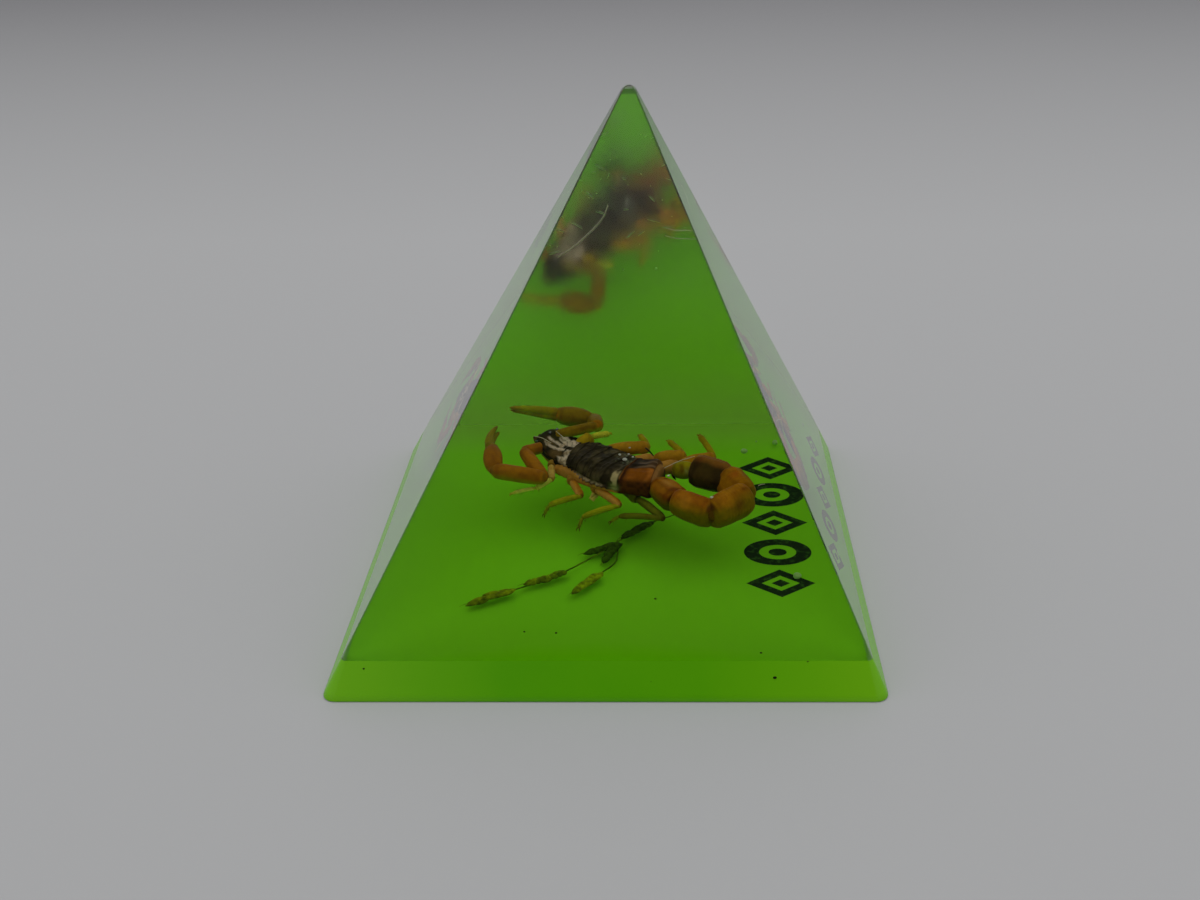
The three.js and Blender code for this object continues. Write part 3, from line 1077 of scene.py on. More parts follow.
@dataclass(frozen=True)
class TrunkRelief:
    """How far the features of the trunk stand off or lie in, in millimetres."""

    plate: float = 0.16  # from the front of a back plate to its rear edge
    plate_flank: float = 0.28
    sunken_back: float = 0.3
    back_keel: float = 0.06
    head_furrow: float = 0.22
    eye_hump: float = 0.3
    head_ridge: float = 0.14
    head_groove: float = 0.14
    flank_fold: float = 0.1
    belly_plate: float = 0.1
    wrinkle: float = 0.055
    dent: float = 0.17
    crease: float = 0.15
    grain: float = 0.025
    roughness: float = 0.02


@dataclass(frozen=True)
class TrunkColours:
    """The colours of the dried trunk, as sRGB hex. Between two colours the skin is mottled."""

    plates: tuple[str, str] = ("#2a2310", "#52482a")
    # paler colour of the wrinkles' crests, a painted highlight
    wrinkle: str = "#6a5f40"
    plate_rim: str = "#5f553c"
    plate_root: str = "#1c170d"
    flakes: str = "#7f8c6a"
    head: tuple[str, str] = ("#1c1a06", "#33310c")
    head_between: str = "#624c26"
    cream: tuple[str, str] = ("#dcc8ac", "#b39d78")
    soft_skin: str = "#b39a78"
    belly: tuple[str, str] = ("#d59a40", "#b07428")
    last_wall: tuple[str, str] = ("#552f05", "#3e2204")
    # painted light on the upper part of the last plate's walls
    last_painted_light: tuple[str, str] = ("#8a4d06", "#b66c22")
    last_top: tuple[str, str] = ("#211808", "#4e3418")
    last_streaks: str = "#96795a"
    last_root: str = "#3d1e0b"
    # painted shadow where the tail meets the rear rim, turning lighter brown above it
    behind_last_painted_shade: tuple[str, str] = ("#3d1e0b", "#a4743c")
    tuft: str = "#b9a672"
    tag: str = "#8f9a52"
    eyes: str = "#0b0a09"
    # pale colour of the air pockets, a painted glint
    gleams: str = "#cfcdbd"
    combs: str = "#c8c050"


class TrunkPlace:
    """Where each point of the trunk lies, and the uneven patterns that its colours follow."""

    def __init__(self, t: Array, a: Array, points: Array, share: Array) -> None:
        """Notes where the points lie.

        Args:
            t: place along the body, 0 at the front.
            a: angle round it, 0 at the near side and a quarter turn on the back.
            points: the finished surface, in millimetres.
            share: how far along its own plate each point is.
        """
        self.t, self.points, self.share = t, points, share
        self.height, self.side, self.degrees = np.sin(a), np.cos(a), np.degrees(a)
        self.fine, self.broad = rumple(points, 0.45, 41), rumple(points, 1.5, 42)


JAW = Shell("#5c431b", "#2e2210", "#6d5528")


@dataclass
class Trunk:
    """Head shield, seven back plates, soft flanks and belly, with the eyes, jaws and combs."""

    # Midline: a place from 0 at the front to 1 at the tail, and the point there. All places, and the
    # stretches that they bound, are counted like this.
    line: tuple[tuple[float, ...], ...] = (
        (0, -9.6, 11.6, 12.7), (0.407, -3.2, 5.7, 12.75), (0.814, 3.2, -0.2, 12.85), (1, 7.0, -1.4, 13.0),
    )
    # Place along the midline, half width, height above it and depth below it.
    stations: tuple[tuple[float, ...], ...] = (
        (0, 1.2, 0.4, 0.6), (0.012, 1.55, 0.95, 0.95), (0.03, 1.85, 1.45, 1.25), (0.055, 2.05, 1.8, 1.5),
        (0.085, 2.25, 1.95, 1.8), (0.16, 2.8, 1.45, 2.3), (0.29, 3.4, 1.15, 2.75), (0.34, 3.55, 1.45, 2.85),
        (0.43, 3.8, 1.75, 2.95), (0.52, 4.0, 1.9, 2.75), (0.61, 4.15, 2.0, 2.3), (0.71, 4.1, 2.1, 1.75),
        (0.81, 3.85, 2.2, 1.45), (0.9, 3.6, 2.25, 1.6), (0.975, 3.25, 2.1, 1.75), (1, 2.3, 1.45, 1.3),
    )
    fullness: float = 0.87  # 1 gives it a round section, and less a squarer one
    plate_edges: tuple[float, ...] = (0.322, 0.375, 0.445, 0.53, 0.615, 0.71, 0.808, 0.976)
    skew: float = 0.075  # how much farther back the front plates' near ends lie than their middles
    # Cream patches of the head shield: start and end along it, from and to in degrees round it at
    # the start, and how many degrees they turn upward along the whole body.
    patches: tuple[tuple[float, ...], ...] = (
        (0.175, 0.318, 90, 112, -50), (0.12, 0.228, 65, 76, 70), (0.112, 0.245, 36, 48, 190),
        (0.222, 0.318, -4, 30, 0), (0.26, 0.318, 26, 68, 0),
    )
    # Pockets of air on the back, at the pale tuft and by the tail, with their radii; their pale colour is a
    # painted glint.
    gleams: tuple[tuple[Point, float], ...] = (
        ((2.2, 0.96, 15.0), 0.33), ((1.5, 2.5, 14.95), 0.2), ((2.7, 2.7, 14.9), 0.16),
        ((3.3, 1.6, 15.05), 0.15), ((2.8, 5.4, 14.5), 0.16), ((1.6, -2.6, 12.6), 0.26),
        ((0.9, -2.5, 12.3), 0.18), ((8.1, -2.7, 14.4), 0.22),
    )
    jaws: tuple[tuple[Point, Point], ...] = (
        ((-8.4, 11.2, 12.7), (-9.8, 12.6, 12.7)), ((-9.1, 10.4, 12.7), (-10.5, 11.9, 12.7)),
    )
    comb_place: float = 0.6  # along the body
    comb_teeth: int = 16
    flank_folds: int = 24  # for the whole length of the body
    form: TrunkRelief = field(default_factory=TrunkRelief)
    colours: TrunkColours = field(default_factory=TrunkColours)
    rings: int = 300
    sides: int = 150

    def build(self, skin: Skin, shine: Skin) -> None:
        """Adds the trunk, its jaws and its combs to the animal's skin, and its eyes to the glossy one.

        Args:
            skin: the animal's skin.
            shine: its glossy skin.
        """
        edges = np.array(self.plate_edges)
        places = np.sort(np.concatenate([np.linspace(0, 1, self.rings), edges, edges + 0.0035]))
        angle = turns(self.sides)
        a = np.broadcast_to(angle, (len(places), self.sides))
        # The rings lean with the plates, so that a plate's edge runs along one ring.
        lean = self.skew * span(places, (0.03, 0.25), (0.36, 0.78))[:, None]
        t = places[:, None] + lean * np.cos(a)
        smooth_form = self.surface(t, a, np.zeros(t.shape))
        plate = np.broadcast_to(places[:, None], a.shape)
        rings = self.surface(t, a, self.relief(plate, a, smooth_form))
        skin.add_tube(rings, self.tones(plate, a, rings))
        self.add_eyes(shine)
        self.add_jaws(skin)
        self.add_combs(skin)

    def axes(self, t: Array) -> tuple[Array, ...]:
        """The body's own directions at each place.

        Args:
            t: place along the body.

        Returns:
            The midline's points, and the directions rearward, to the near side, and up.
        """
        reach = 0.01
        along = smooth(np.minimum(t + reach, 1), self.line) - smooth(np.maximum(t - reach, 0), self.line)
        along /= np.linalg.norm(along, axis=-1)[..., None]
        across = np.cross(along, UP)
        across /= np.linalg.norm(across, axis=-1)[..., None]
        return smooth(t, self.line), along, across, np.cross(across, along)

    def surface(self, t: Array, a: Array, lift: Array) -> Array:
        """Places points on the trunk.

        Args:
            t: place along the body, 0 at the front.
            a: angle round it, 0 at the near side and a quarter turn on the back.
            lift: how far each point stands off the smooth form.

        Returns:
            The points, in millimetres.
        """
        half_width, rise, drop = np.moveaxis(smooth(t, self.stations), -1, 0)
        centre, _, across, up = self.axes(t)
        side, top = (np.sign(value) * np.abs(value) ** self.fullness for value in (np.cos(a), np.sin(a)))
        height = np.where(top > 0, rise, drop)
        out = ((half_width + lift) * side)[..., None] * across
        return centre + out + ((height + lift) * top)[..., None] * up

    def plate_share(self, t: Array) -> Array:
        """Says how far along its own plate each place is.

        Args:
            t: place along the body.

        Returns:
            0 at the front of a plate and 1 at its rear edge.
        """
        edges = np.array([0.0, *self.plate_edges, 1.0])
        plate = np.clip(np.searchsorted(edges, t, side="left") - 1, 0, len(edges) - 2)
        return (t - edges[plate]) / (edges[plate + 1] - edges[plate])

    def wrinkles(self, t: Array, a: Array) -> Array:
        """Shallow wrinkles that run across the plates and fade in and out.

        Args:
            t: place along the body.
            a: angle round it.

        Returns:
            1 on their crests, falling to 0 between them.
        """
        length, girth = 21.0, 1.5  # millimetres for the whole body, and for one radian as it is drawn
        stretched = np.stack([t * length, a * girth, np.zeros_like(t)], axis=-1)
        return 1 - np.minimum(1, 2.4 * np.abs(rumple(stretched, 0.85, 30)))

    def relief(self, t: Array, a: Array, points: Array) -> Array:
        """How far the real surface stands off the smooth form.

        Args:
            t: place along the body.
            a: angle round it.
            points: the smooth form.

        Returns:
            A height in millimetres for each point.
        """
        form = self.form
        height, degrees = np.sin(a), np.degrees(a)
        share = self.plate_share(t)
        back, belly = step(0.06, 0.2, height), step(0.4, 0.7, -height)
        behind_head = step(0.3, 0.33, t)
        before_last = 1 - step(0.8, 0.82, t)
        # Each plate rises to a rear edge that overhangs the next, and its flank edge overhangs the skin.
        lift = back * behind_head * form.plate * (share**1.6 - 0.35)
        lift -= form.plate_flank * bump(height, 0.02, 0.07) * step(0.04, 0.2, t) * before_last
        # The dried back has sunk between its keels.
        lift -= form.sunken_back * bump(degrees, 92, 34) * span(t, (0.33, 0.45), (0.72, 0.86))
        for keel in (62, 90, 120):
            lift += form.back_keel * bump(degrees, keel, 4.5) * span(t, (0.34, 0.42), (0.93, 0.98))
        # The head shield: a furrow down its middle, the hump of the eyes, a ridge on each side, and a
        # groove across it.
        head = 1 - behind_head
        lift -= form.head_furrow * bump(degrees, 92, 8) * head * step(0.16, 0.2, t)
        lift += form.eye_hump * bump(degrees, 90, 15) * bump(t, 0.115, 0.026)
        for ridge in (58, 122):
            lift += form.head_ridge * bump(degrees, ridge, 8) * head * step(0.05, 0.1, t)
        lift -= form.head_groove * bump(t, 0.242, 0.012) * head * back
        # Soft flanks in upright folds, and flat belly plates.
        folds = np.sin(t * 2 * np.pi * self.flank_folds + 2.2 * rumple(points, 1.6, 21))
        folded = span(t, (0.2, 0.3), (0.78, 0.82))
        lift += bump(height, -0.2, 0.22) * form.flank_fold * folds * folded
        lift += belly * form.belly_plate * (share - 0.5) * behind_head
        # Wrinkles across the plates, dents and creases, and grains of the hard skin.
        lift += back * behind_head * form.wrinkle * (self.wrinkles(t, a) - 0.5) * before_last
        lift += back * (form.dent * rumple(points, 2.6, 31) + form.crease * rumple(points, 1.2, 32))
        lift += back * form.grain * grains(points, 0.46, 33) + form.roughness * rumple(points, 0.5, 34)
        return lift * span(t, (0, 0.04), (0.985, 1.0))

    def tones(self, t: Array, a: Array, points: Array) -> Array:
        """The trunk's colours.

        Args:
            t: place along the body.
            a: angle round it.
            points: the finished surface.

        Returns:
            A linear colour for each point.
        """
        at = TrunkPlace(t, a, points, self.plate_share(t))
        # Painted highlight: the crests of the wrinkles are turned paler.
        painted_crest_highlight = step(0.55, 0.95, self.wrinkles(t, a)) * step(-0.2, 0.7, at.broad + 0.5 * at.fine)
        tone = tint(self.plate_tones(at), self.colours.wrinkle, 0.22 * painted_crest_highlight)
        for part in (self.rim_tones, self.head_tones, self.flank_tones, self.last_plate_tones, self.tuft_tones):
            tone = part(at, tone)
        return tone

    def plate_tones(self, at: TrunkPlace) -> Array:
        """The mottled ground colour of the back plates."""
        return ramp(*self.colours.plates, step(-0.4, 0.9, at.broad + 0.6 * at.fine))

    def rim_tones(self, at: TrunkPlace, tone: Array) -> Array:
        """Adds the plates' pale rims and dark roots, and the flakes on the last ones' far side.

        Args:
            at: where the points lie.
            tone: their linear colours so far.

        Returns:
            Their new colours.
        """
        pale = bump(at.share, 0.97, 0.03) * step(0.0, 0.9, at.broad + 0.6 * at.fine)
        tone = tint(tone, self.colours.plate_rim, 0.35 * pale)
        root = bump(at.share, 0.04, 0.05) * step(0.33, 0.36, at.t)
        tone = tint(tone, self.colours.plate_root, 0.5 * root)
        flaked = span(at.t, (0.62, 0.68), (0.79, 0.81)) * step(80, 95, at.degrees)
        return tint(tone, self.colours.flakes, 0.75 * flaked * step(0.35, 0.7, grains(at.points, 0.6, 47)))

    def head_tones(self, at: TrunkPlace, tone: Array) -> Array:
        """Colours the head shield: near black in front, brown between its veined cream patches.

        Args:
            at: where the points lie.
            tone: their linear colours so far.

        Returns:
            Their new colours.
        """
        t, degrees, fine, broad = at.t, at.degrees, at.fine, at.broad
        head = 1 - step(0.3, 0.32, t)
        tone = mix(tone, ramp(*self.colours.head, step(-0.4, 0.8, broad)), head)
        between = step(0.08, 0.14, t) * head * (1 - step(60, 84, degrees))
        tone = tint(tone, self.colours.head_between, between * step(-0.5, 0.4, broad + 0.5 * fine))
        cream = np.zeros(t.shape)
        for start, end, low, high, slope in self.patches:
            turned = degrees - slope * (t - start)
            inside = step(-0.009, 0.009, t - start + 0.018 * broad + 0.01 * fine)
            inside = inside * (1 - step(-0.005, 0.005, t - end + 0.004 * fine))
            inside = inside * step(-3, 3, turned - low + 4 * broad + 4 * fine)
            inside = inside * (1 - step(-3, 3, turned - high + 4 * broad - 4 * fine))
            cream = np.maximum(cream, inside)
        veins = bump(rumple(at.points, 0.7, 45), 0.1, 0.1)
        return mix(tone, ramp(*self.colours.cream, step(-0.2, 0.8, fine)), cream * (1 - 0.6 * veins))

    def flank_tones(self, at: TrunkPlace, tone: Array) -> Array:
        """Adds the pale soft skin between back and belly, in short tags, and the orange belly.

        Args:
            at: where the points lie.
            tone: their linear colours so far.

        Returns:
            Their new colours.
        """
        tags = step(-0.35, 0.45, at.broad + 0.6 * at.fine)
        gap = bump(at.height, -0.06 + 0.2 * (at.t - 0.5) + 0.03 * at.broad, 0.065)
        gap = gap * span(at.t, (0.26, 0.33), (0.7, 0.76))
        gap = np.where(at.side > 0, gap, 0.3 * gap)
        tone = tint(tone, self.colours.soft_skin, np.clip(1.2 * gap, 0, 1) * (0.15 + 0.85 * tags))
        belly = step(0.12, 0.26, -at.height + 0.1 * (at.t - 0.5)) * (1 - step(0.79, 0.81, at.t))
        return mix(tone, ramp(*self.colours.belly, step(-0.2, 0.8, at.fine)), belly)

    def last_plate_tones(self, at: TrunkPlace, tone: Array) -> Array:
        """Colours the last plate: red-brown walls, darker below and with painted light above, and a
        purple-black top.

        Args:
            at: where the points lie.
            tone: their linear colours so far.

        Returns:
            Their new colours.
        """
        hue, share, degrees, fine, broad = self.colours, at.share, at.degrees, at.fine, at.broad
        last = step(0.802, 0.812, at.t)
        wall = ramp(*hue.last_wall, step(-0.3, 0.6, fine))
        # Painted light on the upper part of the walls.
        painted_light_share = step(0.42, 0.66, at.height + 0.1 * broad) * step(0.02, 0.2, share)
        wall = mix(wall, ramp(*hue.last_painted_light, step(-0.3, 0.7, broad + 0.3 * fine)), painted_light_share)
        tone = mix(tone, wall, last)
        # The top has pale streaks and turns browner towards the tail.
        rim = 72 + 8 * share
        top = last * step(-4, 4, degrees - rim + 3 * broad) * (1 - step(-6, 6, degrees - 178))
        tone = mix(tone, ramp(*hue.last_top, step(0.35, 1.0, share + 0.2 * broad)), top)
        streaks = bump(degrees, 104 + 9 * broad, 4) + bump(degrees, rim + 6, 3) + 0.8 * bump(degrees, 138, 5)
        streaks = np.clip(0.6 * streaks * step(0.15, 0.5, share), 0, 1)
        tone = tint(tone, hue.last_streaks, streaks * top)
        tone = tint(tone, hue.last_root, 0.75 * last * bump(share, 0.03, 0.04))
        # The rear rim: painted shadow low down where the tail meets it, lighter towards its top.
        painted_rear_shade = ramp(*hue.behind_last_painted_shade, step(0.2, 0.7, at.height))
        return mix(tone, painted_rear_shade, step(0.974, 0.982, at.t))

    def tuft_tones(self, at: TrunkPlace, tone: Array) -> Array:
        """Adds the pale tuft in front of the last plate, and the small green tag beside it.

        Args:
            at: where the points lie.
            tone: their linear colours so far.

        Returns:
            Their new colours.
        """
        t, degrees, fine, broad = at.t, at.degrees, at.fine, at.broad
        tuft = step(0.762, 0.776, t + 0.014 * broad + 0.008 * fine) * (1 - step(0.795, 0.801, t))
        tuft = tuft * bump(degrees, 31 + 6 * broad, 21)
        tone = tint(tone, self.colours.tuft, np.clip(1.6 * tuft, 0, 1) * step(-0.9, 0.1, fine))
        tag = bump(t, 0.785, 0.02) * (bump(degrees, 2, 11) + bump(degrees, 360, 9))
        return tint(tone, self.colours.tag, np.clip(tag, 0, 1))

    def spot(self, t: float, degrees: float, lift: float = 0.0) -> Array:
        """The point at one place along and round the trunk."""
        return self.surface(np.array(t), np.radians(degrees), np.array(lift))

    def add_eyes(self, shine: Skin) -> None:
        """Adds the two middle eyes, three side eyes on each edge, and flecks of air painted pale as glints.

        Args:
            shine: the animal's glossy skin.
        """
        black = linear(self.colours.eyes)
        for degrees in (78, 102):
            shine.add_ball(self.spot(0.112, degrees, 0.24), (0.28, 0.28, 0.26), black)
        for side in (24, 156):
            for i in range(3):
                shine.add_ball(self.spot(0.03 + 0.012 * i, side, 0.05), (0.14, 0.14, 0.13), black)
        for centre, radius in self.gleams:
            shine.add_ball(centre, (radius, radius, radius * 0.55), linear(self.colours.gleams))

    def add_jaws(self, skin: Skin) -> None:
        """Adds the pair of small pincer jaws that stand out in front of the head.

        Args:
            skin: the animal's skin.
        """
        for start, end in self.jaws:
            Tube(start, end, 1.4, 1.1, JAW, PALM, grain=0.03).build(skin)
            heading = unit(np.subtract(end, start))
            for lift in (0.22, -0.2):
                root = np.add(end, (0, 0, lift))
                tip = np.add(end, 0.55 * heading) + lift * 0.2 * UP
                Tube(root, tip, 0.34, 0.3, JAW, FINGER, rings=12, sides=10).build(skin)

    def add_combs(self, skin: Skin) -> None:
        """Adds the two pale combs under the belly, with their rows of teeth.

        Args:
            skin: the animal's skin.
        """
        pale = linear(self.colours.combs)
        _, along, across, up = self.axes(np.array(self.comb_place))
        for side in (1, -1):
            root = self.spot(self.comb_place, 270) + side * 0.9 * across + 0.2 * up
            tip = root + side * 3.8 * across + 1.8 * along - 0.1 * up
            middle = (root + tip) / 2 + 0.15 * UP
            skin.add_tube(tube_rings([root, middle, tip], ((0, 0.32), (0.7, 0.26), (1, 0.1)), 14, 10), pale)
            for share in np.linspace(0.12, 0.96, self.comb_teeth):
                base = root + share * (tip - root)
                end = base + 0.8 * along - 0.2 * up
                skin.add_tube(tube_rings([base, end], ((0, 0.1), (0.7, 0.11), (1, 0.03)), 5, 6), pale)


@dataclass
class Tail:
    """Five stout keeled segments curled sideways, the sting bulb and the sting."""

    joints: tuple[Point, ...] = (
        (6.9, -2.9, 12.9), (9.2, -6.7, 12.7), (13.6, -9.8, 12.5),
        (18.2, -6.2, 12.9), (15.9, -2.2, 13.7), (11.5, 0.0, 13.9),
    )
    widths: tuple[float, ...] = (4.0, 4.7, 5.1, 4.3, 4.3)
    flatness: float = 0.88  # depth over width
    overlap: float = 0.25
    keels: tuple[float, ...] = (48, 132, 14, 166, -22, 202, -58, 238)  # degrees round each segment
    joint_share: float = 0.22  # radius of the skin inside a joint, over the narrower segment's width
    joint_skin: str = "#6f4c06"
    roll: tuple[float, ...] = (18, 38, 55, 62, 40)  # how far the back of each has rolled into the curl
    curl_centre: Point = (12.6, -3.0, 13.4)
    # Their lower sides carry painted shade with green floor light, and the last one's upturned edge a painted
    # highlight.
    shells: tuple[Shell, ...] = (
        Shell("#a96b06", "#743a04", "#562602", joint_reach=0.065, painted_underside="#5b5f00"),
        Shell("#ba7608", "#8c4c04", "#763a04", joint_reach=0.045, painted_underside="#7a6a00"),
        Shell("#ba7e06", "#8c5204", "#744204", joint_reach=0.045, painted_underside="#8a7004"),
        Shell("#b47a04", "#8a5404", "#6f4404", joint_reach=0.05, painted_underside="#856602"),
        Shell("#4a3a10", "#2c2008", "#5a3810", joint_reach=0.07, painted_underside="#86640a", painted_highlight="#8c5a1c"),
    )
    # Where the skin has darkened or bleached: middle, radius and colour.
    stains: tuple[tuple[Point, float, str], ...] = (
        ((12.3, -8.6, 14.3), 1.1, "#9c4c02"), ((10.1, -9.4, 13.9), 0.9, "#c6821c"),
        ((8.9, -6.4, 14.0), 0.8, "#6d3002"), ((8.1, -4.6, 14.7), 0.8, "#c08a34"),
        ((17.4, -10.0, 13.8), 0.8, "#6e420a"), ((15.3, -9.6, 14.4), 1.0, "#b87510"),
        ((18.8, -7.3, 13.8), 0.9, "#8b6610"), ((16.9, -4.3, 15.2), 0.7, "#b0580c"),
        ((12.4, -0.5, 15.5), 0.6, "#693210"), ((13.4, -10.6, 13.9), 0.5, "#6a4a1c"),
    )
    bulb: tuple[Point, Point] = ((11.9, -0.1, 13.85), (8.7, 0.9, 13.4))
    bulb_stains: tuple[tuple[Point, float, str], ...] = (
        ((9.9, -0.2, 14.4), 0.4, "#6a4006"), ((10.0, -0.5, 13.9), 0.35, "#6a4006"),
        ((10.6, -0.6, 13.9), 0.32, "#b6cc62"), ((11.1, -0.5, 14.3), 0.3, "#a4b850"),
    )
    bulb_shell: Shell = Shell("#9c9202", "#745c04", "#5e4808", joint_reach=0.06, painted_underside="#768400")
    sting: tuple[Point, ...] = ((9.1, 0.8, 13.3), (8.75, 0.75, 12.9), (8.8, 0.6, 12.5), (9.1, 0.4, 12.1))
    sting_colours: tuple[str, str] = ("#6b4a18", "#1d1109")
    # Pockets of air by the joints, with their radii; their pale colour is a painted glint.
    gleams: tuple[tuple[Point, float], ...] = (((13.7, -9.4, 14.7), 0.28), ((10.9, 0.6, 14.4), 0.22))

    def build(self, skin: Skin, shine: Skin) -> None:
        """Adds the tail to the animal's skin, and its gleams to the glossy one.

        Args:
            skin: the animal's skin.
            shine: its glossy skin.
        """
        for i, (start, end) in enumerate(zip(self.joints, self.joints[1:])):
            along = unit(np.subtract(end, start))
            inward = np.subtract(self.curl_centre, np.add(start, end) / 2)
            inward = unit(inward - along * (inward @ along))
            turn = np.radians(self.roll[i])
            Tube(
                start, end, self.widths[i], self.widths[i] * self.flatness, self.shells[i], STOUT,
                np.cos(turn) * UP + np.sin(turn) * inward, self.overlap, self.keels,
                keel_height=0.13, furrow=0.26, grain=0.012, rings=70, sides=72,
            ).build(skin)
        for i, joint in enumerate(self.joints[1:-1]):
            size = self.joint_share * min(self.widths[i], self.widths[i + 1])
            skin.add_ball(joint, (size, size, size), linear(self.joint_skin))
        for stain in self.stains:
            skin.stain(*stain)
        # The pale colour of these pockets is a painted glint.
        for centre, radius in self.gleams:
            shine.add_ball(centre, (radius, radius * 0.8, radius * 0.6), linear("#d9d3ba"))
        self.add_sting(skin)

    def add_sting(self, skin: Skin) -> None:
        """Adds the bulb and the curved sting, dark at its point.

        Args:
            skin: the animal's skin.
        """
        Tube(*self.bulb, 2.3, 2.35, self.bulb_shell, PALM, keels=(-90, -50, -130), keel_height=0.06,
             grain=0.012, rings=44, sides=40).build(skin)
        for stain in self.bulb_stains:
            skin.stain(*stain)
        rings = tube_rings(self.sting, ((0, 0.42), (0.35, 0.32), (0.8, 0.14), (1, 0.03)), 30, 16)
        fade = np.broadcast_to(np.linspace(0, 1, len(rings))[:, None], rings.shape[:-1])
        skin.add_tube(rings, ramp(*self.sting_colours, step(0.3, 0.9, fade)))


CLAW_BAND = Shell("#9d8c2a", "#7c6a1c", "#7c6a1c")


@dataclass
class ClawArm:
    """One claw arm: three arm tubes, the palm, and its two toothed fingers."""

    joints: tuple[Point, ...]
    palm_end: Point
    tips: tuple[Point, Point]
    finger_bow: Point
    shell: Shell
    finger_shell: Shell
    widths: tuple[float, ...] = (1.7, 1.9, 2.3)
    palm_width: float = 3.2
    palm_depth: float = 2.7
    finger_width: float = 1.35
    band: bool = False  # whether a ring of pale skin shows between palm and fingers

    def build(self, skin: Skin) -> None:
        """Adds the arm to the animal's skin.

        Args:
            skin: the animal's skin.
        """
        for start, end, width in zip(self.joints, self.joints[1:], self.widths):
            Tube(start, end, width, width * 0.95, self.shell, STOUT, overlap=0.2,
                 keels=(40, 140, -40, 220), keel_height=0.05, grain=0.012, rings=48, sides=40).build(skin)
        for joint, width in zip(self.joints[1:], self.widths):
            skin.add_ball(joint, (0.3 * width,) * 3, linear(self.shell.joint))
        Tube(self.joints[-1], self.palm_end, self.palm_width, self.palm_depth, self.shell, PALM,
             keels=(30, 90, 150, -60), keel_height=0.05, grain=0.012, rings=52, sides=44).build(skin)
        for side, tip in zip((1, -1), self.tips):
            self.add_finger(skin, side, tip)
        if self.band:
            self.add_band(skin)

    def add_finger(self, skin: Skin, side: int, tip: Point) -> None:
        """Adds one finger with its row of teeth.

        Args:
            skin: the animal's skin.
            side: 1 for the upper finger, -1 for the lower.
            tip: where it ends.
        """
        base = np.add(self.palm_end, (0, 0, 0.3 * side))
        along = unit(np.subtract(tip, base))
        root = base - 0.6 * along
        Tube(root, tip, self.finger_width, self.finger_width * 0.94, self.finger_shell, FINGER,
             bow=self.finger_bow, grain=0.02, rings=44, sides=22).build(skin)
        for share in np.linspace(0.2, 0.92, 15):
            spot = root + share * np.subtract(tip, root) + 4 * share * (1 - share) * np.array(self.finger_bow)
            lower = spot - side * 0.4 * self.finger_width * (1.05 - 0.7 * share) * UP
            skin.add_ball(lower, (0.07, 0.07, 0.09), linear("#4a2a10"))

    def add_band(self, skin: Skin) -> None:
        """Adds the ring of pale skin between palm and fingers.

        Args:
            skin: the animal's skin.
        """
        along = unit(np.subtract(self.palm_end, self.joints[-1]))
        ends = [np.add(self.palm_end, shift * along) for shift in (-0.22, 0.18)]
        Tube(*ends, 1.9, 1.9, CLAW_BAND, STOUT, rings=14, sides=32).build(skin)


@dataclass
class WalkingLeg:
    """One walking leg: tubes from hip to foot, with a pair of toe claws and a few bristles."""

    joints: tuple[Point, ...]
    shells: tuple[Shell, ...]
    seed: int
    widths: tuple[float, ...] = (1.7, 1.1, 0.78, 0.46)
    bristles: int = 9  # on each tube

    def build(self, skin: Skin) -> None:
        """Adds the leg to the animal's skin.

        Args:
            skin: the animal's skin.
        """
        random = np.random.default_rng(self.seed)
        for i, (start, end) in enumerate(zip(self.joints, self.joints[1:])):
            along = unit(np.subtract(end, start))
            width = self.widths[i]
            length = np.linalg.norm(np.subtract(end, start))
            Tube(start, end, width, width * 1.05, self.shells[i], SLENDER, overlap=0.12,
                 bow=(0, 0, 0.035 * length), keels=(90, -90), keel_height=0.05, grain=0.015,
                 sides=20).build(skin)
            share = random.uniform(0.1, 0.95, self.bristles)
            heading = random.normal(size=(self.bristles, 3))
            heading -= np.outer(heading @ along, along)
            heading /= np.linalg.norm(heading, axis=1)[:, None]
            roots = np.add(start, share[:, None] * np.subtract(end, start)) + heading * width * 0.4
            add_hairs(skin, roots, roots + heading * 0.42 + along * 0.25, 0.022, "#6b4a1e")
        self.add_toes(skin)

    def add_toes(self, skin: Skin) -> None:
        """Adds the two hooked claws of the foot.

        Args:
            skin: the animal's skin.
        """
        foot = np.asarray(self.joints[-1])
        along = unit(np.subtract(self.joints[-1], self.joints[-2]))
        across = unit(np.cross(along, UP))
        for side in (1, -1):
            tip = foot + 0.5 * along + side * 0.22 * across - 0.2 * UP
            middle = foot + 0.32 * along + side * 0.2 * across + 0.02 * UP
            rings = tube_rings([foot, middle, tip], ((0, 0.12), (0.6, 0.08), (1, 0.02)), 9, 8)
            skin.add_tube(rings, linear(self.shells[-1].dark))


# The limbs' colours: hips and thighs orange and near-orange, feet from yellow to olive green.
HIP = Shell("#c8903a", "#a26e22", "#a8742a")
# ORANGE's edge colour paints a highlight on the side turned up and outward.
ORANGE = Shell("#bc7f18", "#965810", "#90621a", painted_highlight="#c8903a")
# The claws' lower sides carry painted shade with green floor light.
NEAR_CLAW = Shell("#ac7006", "#864f06", "#94660e", painted_underside="#9d9500")
FAR_CLAW = Shell("#907602", "#7c5c04", "#b27406", painted_underside="#8c9e00")
NEAR_FINGER = Shell("#8f8402", "#7a6604", "#8a7410")
FAR_FINGER = Shell("#aaae00", "#8e8402", "#968204", joint_reach=0.3)
PALE_LEG = Shell("#b9923a", "#a07824", "#a07a24")
BRIGHT_LEG = Shell("#d8b656", "#b88c34", "#b48c30")
FAR_LEG = Shell("#be8a18", "#9c6c0c", "#a07a18")
FAR_OLIVE_LEG = Shell("#ba9c10", "#98800a", "#98800a")
